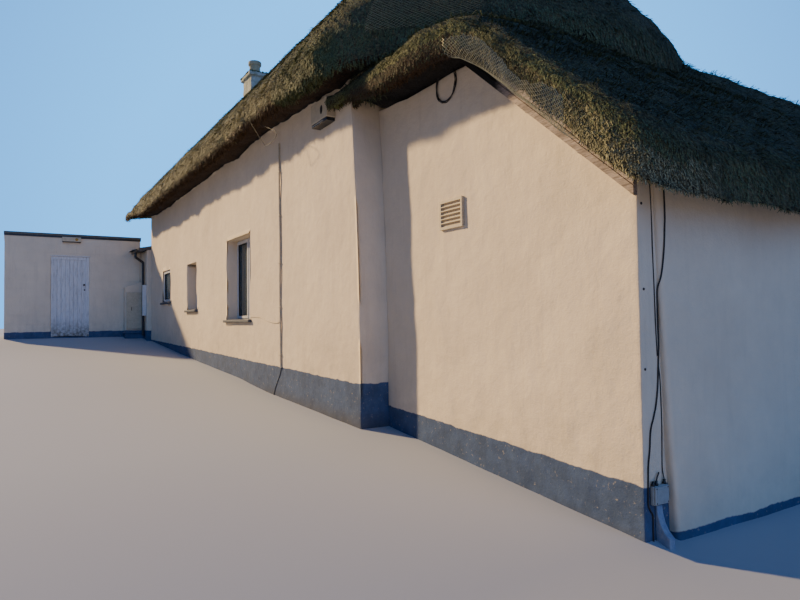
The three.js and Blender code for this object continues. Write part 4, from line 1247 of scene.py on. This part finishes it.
class COTTAGE_OT_outhouse(bpy.types.Operator):
    """Paints the outhouse and the link, lays their roofs and hangs the plank door"""

    bl_idname = "cottage.outhouse"
    bl_label = "Outhouse"

    def execute(self, _context):
        self.front()
        for node in ("outhouse_south_wall", "outhouse_north_wall", "outhouse_rear_wall", "link_front_wall",
                     "link_rear_wall", "link_west_wall"):
            rendered(f"{node}_render", "outhouse_paint", [node], 0.3, 0.5)
        self.door()
        self.link()
        rounded_node("outhouse_felt", "outhouse_roof", "felt", 0.008)
        boxed("outhouse_drip_trim", (-15.479, -3.83, 3.775), (-15.462, -0.67, 3.819), "black", "roof_felt")
        self.lamp_box()
        return {"FINISHED"}

    def front(self):
        """The front as one rendered wall with the doorway cut through it."""
        bm = bmesh.new()
        depths, ys, zs = (-15.695, -15.48), (-3.82, -2.807, -1.938, -0.68), (0.0, 1.24, 3.3, 3.82)
        grid = {(x, i, j): bm.verts.new((x, y, z))
                for x in depths for i, y in enumerate(ys) for j, z in enumerate(zs)}
        for i, j in ((i, j) for i in range(3) for j in range(3) if (i, j) != (1, 1)):
            for x in depths:
                bm.faces.new([grid[x, a, b] for a, b in ((i, j), (i + 1, j), (i + 1, j + 1), (i, j + 1))])
        doorway = [(1, 1), (2, 1), (2, 2), (1, 2), (1, 1)]
        outside = [(0, 0), (1, 0), (2, 0), (3, 0), (3, 1), (3, 2), (3, 3), (2, 3), (1, 3), (0, 3), (0, 2),
                   (0, 1), (0, 0)]
        back, face = depths
        for rim in (outside, doorway):
            for a, b in zip(rim, rim[1:]):
                bm.faces.new([grid[back, *a], grid[back, *b], grid[face, *b], grid[face, *a]])
        bmesh.ops.dissolve_limit(bm, angle_limit=math.radians(1), verts=bm.verts, edges=bm.edges)
        bmesh.ops.recalc_face_normals(bm, faces=bm.faces)
        rendered("outhouse_front_render", "block_paint", [
            "outhouse_front_left", "outhouse_front_right", "outhouse_front_head", "outhouse_door_step"],
            0.2, 0.4, bm=bm)

    def door(self):
        """The plank leaf with its ledges, knob and lock rose, and its frame under a drip board."""
        boards("outhouse_planks", (-2.7705, -2.0095), (1.2525, 3.2325), (-15.559, -15.521), 1, 8, LEAF,
               ["outhouse_door"], 0.02)
        for k, z in enumerate((1.33, 2.17, 2.99)):
            boxed(f"outhouse_door_ledge_{k}", (-15.5745, -2.71, z), (-15.5595, -2.07, z + 0.11), "planks",
                  "white_planks", body=LEAF)
        rounded_node("outhouse_door_jambs", "outhouse_door_frame", "planks", 0.004)
        boxed("outhouse_head_drip", (-15.499, -2.83, 3.302), (-15.468, -1.915, 3.325), "planks",
              "white_planks")
        paint_nodes("iron", "outhouse_door_lower_hinge", "outhouse_door_upper_hinge")
        knob = [(0, 0), (0.024, 0), (0.024, 0.004), (0.02, 0.007), (0.011, 0.01), (0.009, 0.024),
                (0.016, 0.03), (0.0235, 0.037), (0.0235, 0.048), (0.018, 0.057), (0.008, 0.06), (0, 0.06)]
        turned_piece("outhouse_knob", knob, (-15.5198, -2.051, 2.576), (1, 0, 0), "iron", 24,
                     ["outhouse_door_knob"], LEAF)
        rose = [(0, 0), (0.02, 0), (0.02, 0.003), (0.015, 0.006), (0, 0.006)]
        turned_piece("outhouse_lock_rose", rose, (-15.5205, -2.041, 2.446), (1, 0, 0), "iron",
                     body=LEAF)

    def lamp_box(self):
        """The cream lamp box over the door: a back plate, a lens and a dark bottom."""
        boxed("over_door_lamp", (-15.4797, -2.567, 3.682), (-15.412, -2.13, 3.796), "cream", "cream_plastic",
              0.008, 3, ["over_door_box"])
        boxed("over_door_lamp_foot", (-15.4797, -2.56, 3.664), (-15.42, -2.137, 3.684), "black",
              "cream_plastic")
        lens = [(0, 0), (0.036, 0), (0.036, 0.006), (0.03, 0.012), (0, 0.014)]
        turned_piece("over_door_lens", lens, (-15.413, -2.235, 3.74), (1, 0, 0), "amber")

    def link(self):
        """The slated link with its gutter, pipe, pipe box and store cupboard."""
        rounded_node("store_cupboard_render", "store_cupboard", "outhouse_paint", 0.012)
        boxed("store_cupboard_door", (-15.112, -1.09, 1.42), (-15.094, -0.7, 2.38), "cream",
              "painted_render", 0.003)
        boxed("store_cupboard_catch", (-15.095, -0.97, 1.9), (-15.083, -0.955, 1.99), "iron", "dark_iron")
        for node, kind, slot in (
                ("link_gutter", "black", "black_plastic"), ("link_downpipe", "black", "black_plastic"),
                ("link_pipe_box", "upvc", "white_frame"), ("link_roof", "slate", "slate")):
            rounded_node(f"{node}_made", node, kind, 0.004, 1)
        spots, rows = [], 13
        low, high = Vector((0, -0.83, 3.50)), Vector((0, 1.93, 4.075))
        for r in range(rows):
            at = low.lerp(high, r / (rows - 1))
            xs = (-15.56 + 0.2 * c + (0.1 if r % 2 else 0.0) for c in range(5))
            spots += [(x, at.y, at.z) for x in xs if x < -14.79]
        tile = slate_shape(math.atan2(high.z - low.z, high.y - low.y))
        repeated("link_slates", spots, tile, "slate", "slate", 4, 0.012, 0.985)


class COTTAGE_OT_fittings(bpy.types.Operator):
    """Finishes the rake boards, vent, boxes, conduit and cables on the walls"""

    bl_idname = "cottage.fittings"
    bl_label = "Fittings"

    def execute(self, _context):
        self.rake()
        rounded_node("vent_louvres", "louvre_vent", "cream", 0.0012, 1)
        self.eaves_box()
        self.corner_box()
        self.conduit()
        self.long_wall_cables()
        self.corner_cables()
        self.gable_coil()
        return {"FINISHED"}

    def rake(self):
        """Two boards up the gable under the thatch with a dark joint between them."""
        bm = bmesh.new()
        for face, foot, head in RAKE_STRIPS:
            rings = []
            for x in np.linspace(*RAKE_ENDS, 60):
                low = rake_line(x) + foot
                top = float(out_under(x, -0.22)) + 0.012 if head is None else rake_line(x) + head
                high = max(top, low + 0.002)
                rings.append([bm.verts.new((x, y, z)) for y, z in (
                    (face, low), (face, high), (RAKE_BACK, high), (RAKE_BACK, low))])
            for a, b in zip(rings, rings[1:]):
                for k in range(4):
                    n = (k + 1) % 4
                    bm.faces.new((a[k], b[k], b[n], a[n]))
            bm.faces.new(rings[0])
            bm.faces.new(rings[-1][::-1])
        bmesh.ops.recalc_face_normals(bm, faces=bm.faces)
        settle("rake_softwood", poured("rake_softwood", bm), "rake", BUILDING,
               ["rake_boards"])
        line = [(x, -0.241, rake_line(x) + 0.1 + 0.004 * math.sin(9 * x))
                for x in np.linspace(-1.5, 0.17, 16)]
        cable("rake_cable", line, 0.0035)
        spots = [(x, -0.203, rake_line(x) - 0.004 + 0.012 * noise.noise(Vector((x * 9, 0, 0))))
                 for x in np.linspace(-1.05, 0.18, 90)]
        repeated("chipped_plaster_edge", spots, lump("chip", 0.013, 2, 0.7), "painted_render", "chip", 8,
                 3.0, 0.15)

    def eaves_box(self):
        """A plastic bell box under the eaves: a lid with an oval window, a button and a slotted foot."""
        for name, low, high, kind, *how in (
                ("lid", (-4.02, -0.659, 3.874), (-3.58, -0.5405, 4.11), "cream", 0.012, 3, ["eaves_box"]),
                ("slot", (-4.006, -0.652, 3.836), (-3.594, -0.5405, 3.875), "black", 0.003),
                ("slot_lip", (-3.98, -0.659, 3.85), (-3.68, -0.652, 3.857), "grey", 0.001)):
            boxed(f"eaves_box_{name}", low, high, kind, "cream_plastic", *how)
        oval = [(0, 0), (0.03, 0), (0.03, 0.0015), (0.026, 0.003), (0, 0.003)]
        made = turned_piece("eaves_box_oval", oval, (0, 0, 0), (0, -1, 0), "dark")
        for v in made.data.vertices:
            v.co = (v.co.x * 1.25 - 3.72, v.co.y - 0.6565, v.co.z * 1.9 + 3.985)
        button = [(0, 0), (0.011, 0), (0.011, 0.002), (0, 0.003)]
        turned_piece("eaves_box_button", button, (-3.5825, -0.614, 3.93), (1, 0, 0), "black",
                     16)

    def corner_box(self):
        """The junction box on the corner with its lid and glands, over the flared duct."""
        for name, low, high, *how in (
                ("back", (0.2003, -0.146, 0.342), (0.228, -0.002, 0.466), 0.006, 2, ["junction_box"]),
                ("lid", (0.2285, -0.142, 0.346), (0.242, -0.006, 0.462), 0.006, 3),
                ("panel", (0.2415, -0.126, 0.362), (0.2445, -0.024, 0.446), 0.002)):
            boxed(f"junction_box_{name}", low, high, "grey", "grey_plastic", *how)
        screw = [(0, 0), (0.005, 0), (0.005, 0.0015), (0, 0.002)]
        for k, (y, z) in enumerate(((-0.13, 0.357), (-0.018, 0.357), (-0.13, 0.451), (-0.018, 0.451))):
            turned_piece(f"junction_box_screw_{k}", screw, (0.2415, y, z), (1, 0, 0), "black",
                         12)
        gland = [(0, 0), (0.013, 0), (0.013, 0.012), (0.009, 0.016), (0.009, 0.03), (0, 0.03)]
        for k, y in enumerate((-0.132, -0.1, -0.018)):
            turned_piece(f"junction_box_gland_{k}", gland, (0.2145, y, 0.4655), (0, 0, 1), "black",
                         16)
        rounded_node("corner_duct", "cable_duct", "duct")

    def conduit(self):
        """The painted pipe down the long wall, with saddles."""
        x, y = -5.34, -0.553
        spots = [(x, y, z) for z in (0.931, 1.4, 2.0, 2.6, 3.2, 4.0)]
        line = laid_on(["front_wall_render"], spots, (0, 1, 0), 0.0132)
        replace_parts(cable("conduit_pipe", line, 0.0125, "cream", "cream_plastic", 14), "wall_conduit")
        for k, z in enumerate((1.1, 1.75, 2.35, 3.0, 3.6)):
            boxed(f"conduit_saddle_{k}", (x - 0.026, -0.569, z), (x + 0.026, -0.5405, z + 0.016), "cream",
                  "cream_plastic", 0.003)

    def long_wall_cables(self):
        """Cables clipped to the long wall, and the loop of wire that hangs from its eaves."""
        for name, kind, run in (
                ("window_branch_cable", "cream", [
                    (-5.36, 1.66), (-5.375, 1.585), (-5.44, 1.545), (-5.62, 1.545), (-5.9, 1.575),
                    (-6.15, 1.62), (-6.45, 1.635), (-6.6, 1.63)]),
                ("plinth_drop_cable", "cable", [
                    (-5.345, 0.94), (-5.365, 0.89), (-5.4, 0.832), (-5.496, 0.73), (-5.575, 0.641),
                    (-5.64, 0.54)])):
            line = laid_on(["front_wall_render"], [(x, -0.5455, z) for x, z in run], (0, 1, 0), 0.005)
            cable(name, line, 0.0045, kind)
        loop = [(-5.31, -1.0, 4.3), (-5.285, -1.0, 4.257), (-5.188, -0.985, 4.153), (-5.064, -0.96, 4.018),
                (-4.931, -0.92, 3.853), (-4.88, -0.905, 3.819), (-4.774, -0.89, 3.819),
                (-4.656, -0.88, 3.842), (-4.588, -0.875, 3.876), (-4.629, -0.87, 3.927),
                (-4.789, -0.87, 4.011), (-5.031, -0.87, 4.108), (-5.177, -0.88, 4.19), (-5.25, -0.88, 4.26)]
        cable("eaves_wire_loop", loop, 0.0035)

    def corner_cables(self):
        """Cables down the east corner to the junction box and past it."""
        walls = ["outshut_front_render", "outshut_east_render"]
        for name, radius, run, *ends in (
                ("corner_thin_cable", 0.0035, [
                    (-0.075, 2.47), (-0.07, 2.168), (-0.067, 1.989), (-0.061, 1.738), (-0.047, 1.447),
                    (-0.04, 1.302)]),
                ("corner_cable", 0.0055, [
                    (0.021, 2.47), (0.022, 2.25), (0.018, 2.17), (0.004, 2.0), (-0.015, 1.84),
                    (-0.032, 1.74), (-0.03, 1.606), (-0.026, 1.473), (-0.026, 1.374), (-0.032, 1.275),
                    (-0.04, 1.197), (-0.052, 1.089), (-0.071, 0.984), (-0.1, 0.902), (-0.129, 0.82),
                    (-0.139, 0.697), (-0.155, 0.607), (-0.163, 0.516), (-0.167, 0.357), (-0.15, 0.31),
                    (-0.126, 0.27), (-0.126, 0.181), (-0.128, 0.08)]),
                ("box_feed_cable", 0.0035, [
                    (-0.03, 1.242), (-0.02, 1.11), (-0.014, 0.846), (-0.014, 0.682), (-0.018, 0.565)],
                 Vector((0.2145, -0.018, 0.494)))):
            line = laid_on(walls, [(0.25, y, z) for y, z in run], (-1, 0, 0), radius)
            cable(name, [*line, *ends], radius, sides=8)
        stub = [(0.2145, -0.1, 0.49), (0.213, -0.085, 0.52), (0.211, -0.066, 0.545)]
        cable("corner_cable_stub", stub, 0.0048, sides=8)
        stud = [(0, 0), (0.009, 0), (0.009, 0.003), (0, 0.004)]
        for k, z in enumerate((2.305, 1.743, 1.22)):
            at = laid_on(walls, [(0.25, -0.165, z)], (-1, 0, 0), 0)[0]
            turned_piece(f"corner_fixing_{k}", stud, at, (1, 0, 0), "cable", 12)

    def gable_coil(self):
        """A coil of cable hung under the eyebrow, three turns of sixteen places each."""
        coil = []
        for k in range(3 * 16 + 1):
            turn = 2 * math.pi * k / 16
            r = 0.158 + 0.008 * math.sin(k * 1.7)
            coil.append((-1.892 + r * math.cos(turn), -0.21, 3.76 + r * math.sin(turn)))
        laid = laid_on(["outshut_front_render"], coil, (0, 1, 0), 0.005)
        laid = [spot - Vector((0, 0.004 * k / 16, 0)) for k, spot in enumerate(laid)]
        cable("wall_coil_cable", laid, 0.0045)


class COTTAGE_PT_panel(bpy.types.Panel):
    """Lists the cottage's settings and steps"""

    bl_idname = "COTTAGE_PT_panel"
    bl_label = "Thatched cottage"
    bl_space_type = "VIEW_3D"
    bl_region_type = "UI"
    bl_category = "Cottage"

    def draw(self, context):
        for group in (context.scene.cottage_colours, context.scene.cottage_sizes):
            for key in group.__annotations__:
                self.layout.prop(group, key)
        for step in STEPS:
            self.layout.operator(f"cottage.{step}")


STEPS = ["stage", "walls", "thatch", "openings", "chimney", "outhouse", "fittings"]
CLASSES = [CottageColours, CottageSizes, COTTAGE_OT_stage, COTTAGE_OT_walls, COTTAGE_OT_thatch,
           COTTAGE_OT_openings, COTTAGE_OT_chimney, COTTAGE_OT_outhouse, COTTAGE_OT_fittings,
           COTTAGE_PT_panel]


def register():
    for cls in CLASSES:
        bpy.utils.register_class(cls)
    bpy.types.Scene.cottage_colours = bpy.props.PointerProperty(type=CottageColours)
    bpy.types.Scene.cottage_sizes = bpy.props.PointerProperty(type=CottageSizes)


def unregister():
    del bpy.types.Scene.cottage_sizes
    del bpy.types.Scene.cottage_colours
    for cls in reversed(CLASSES):
        bpy.utils.unregister_class(cls)


def main():
    register()
    for step in STEPS:
        getattr(bpy.ops.cottage, step)()
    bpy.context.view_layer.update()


if __name__ == "__main__":
    main()
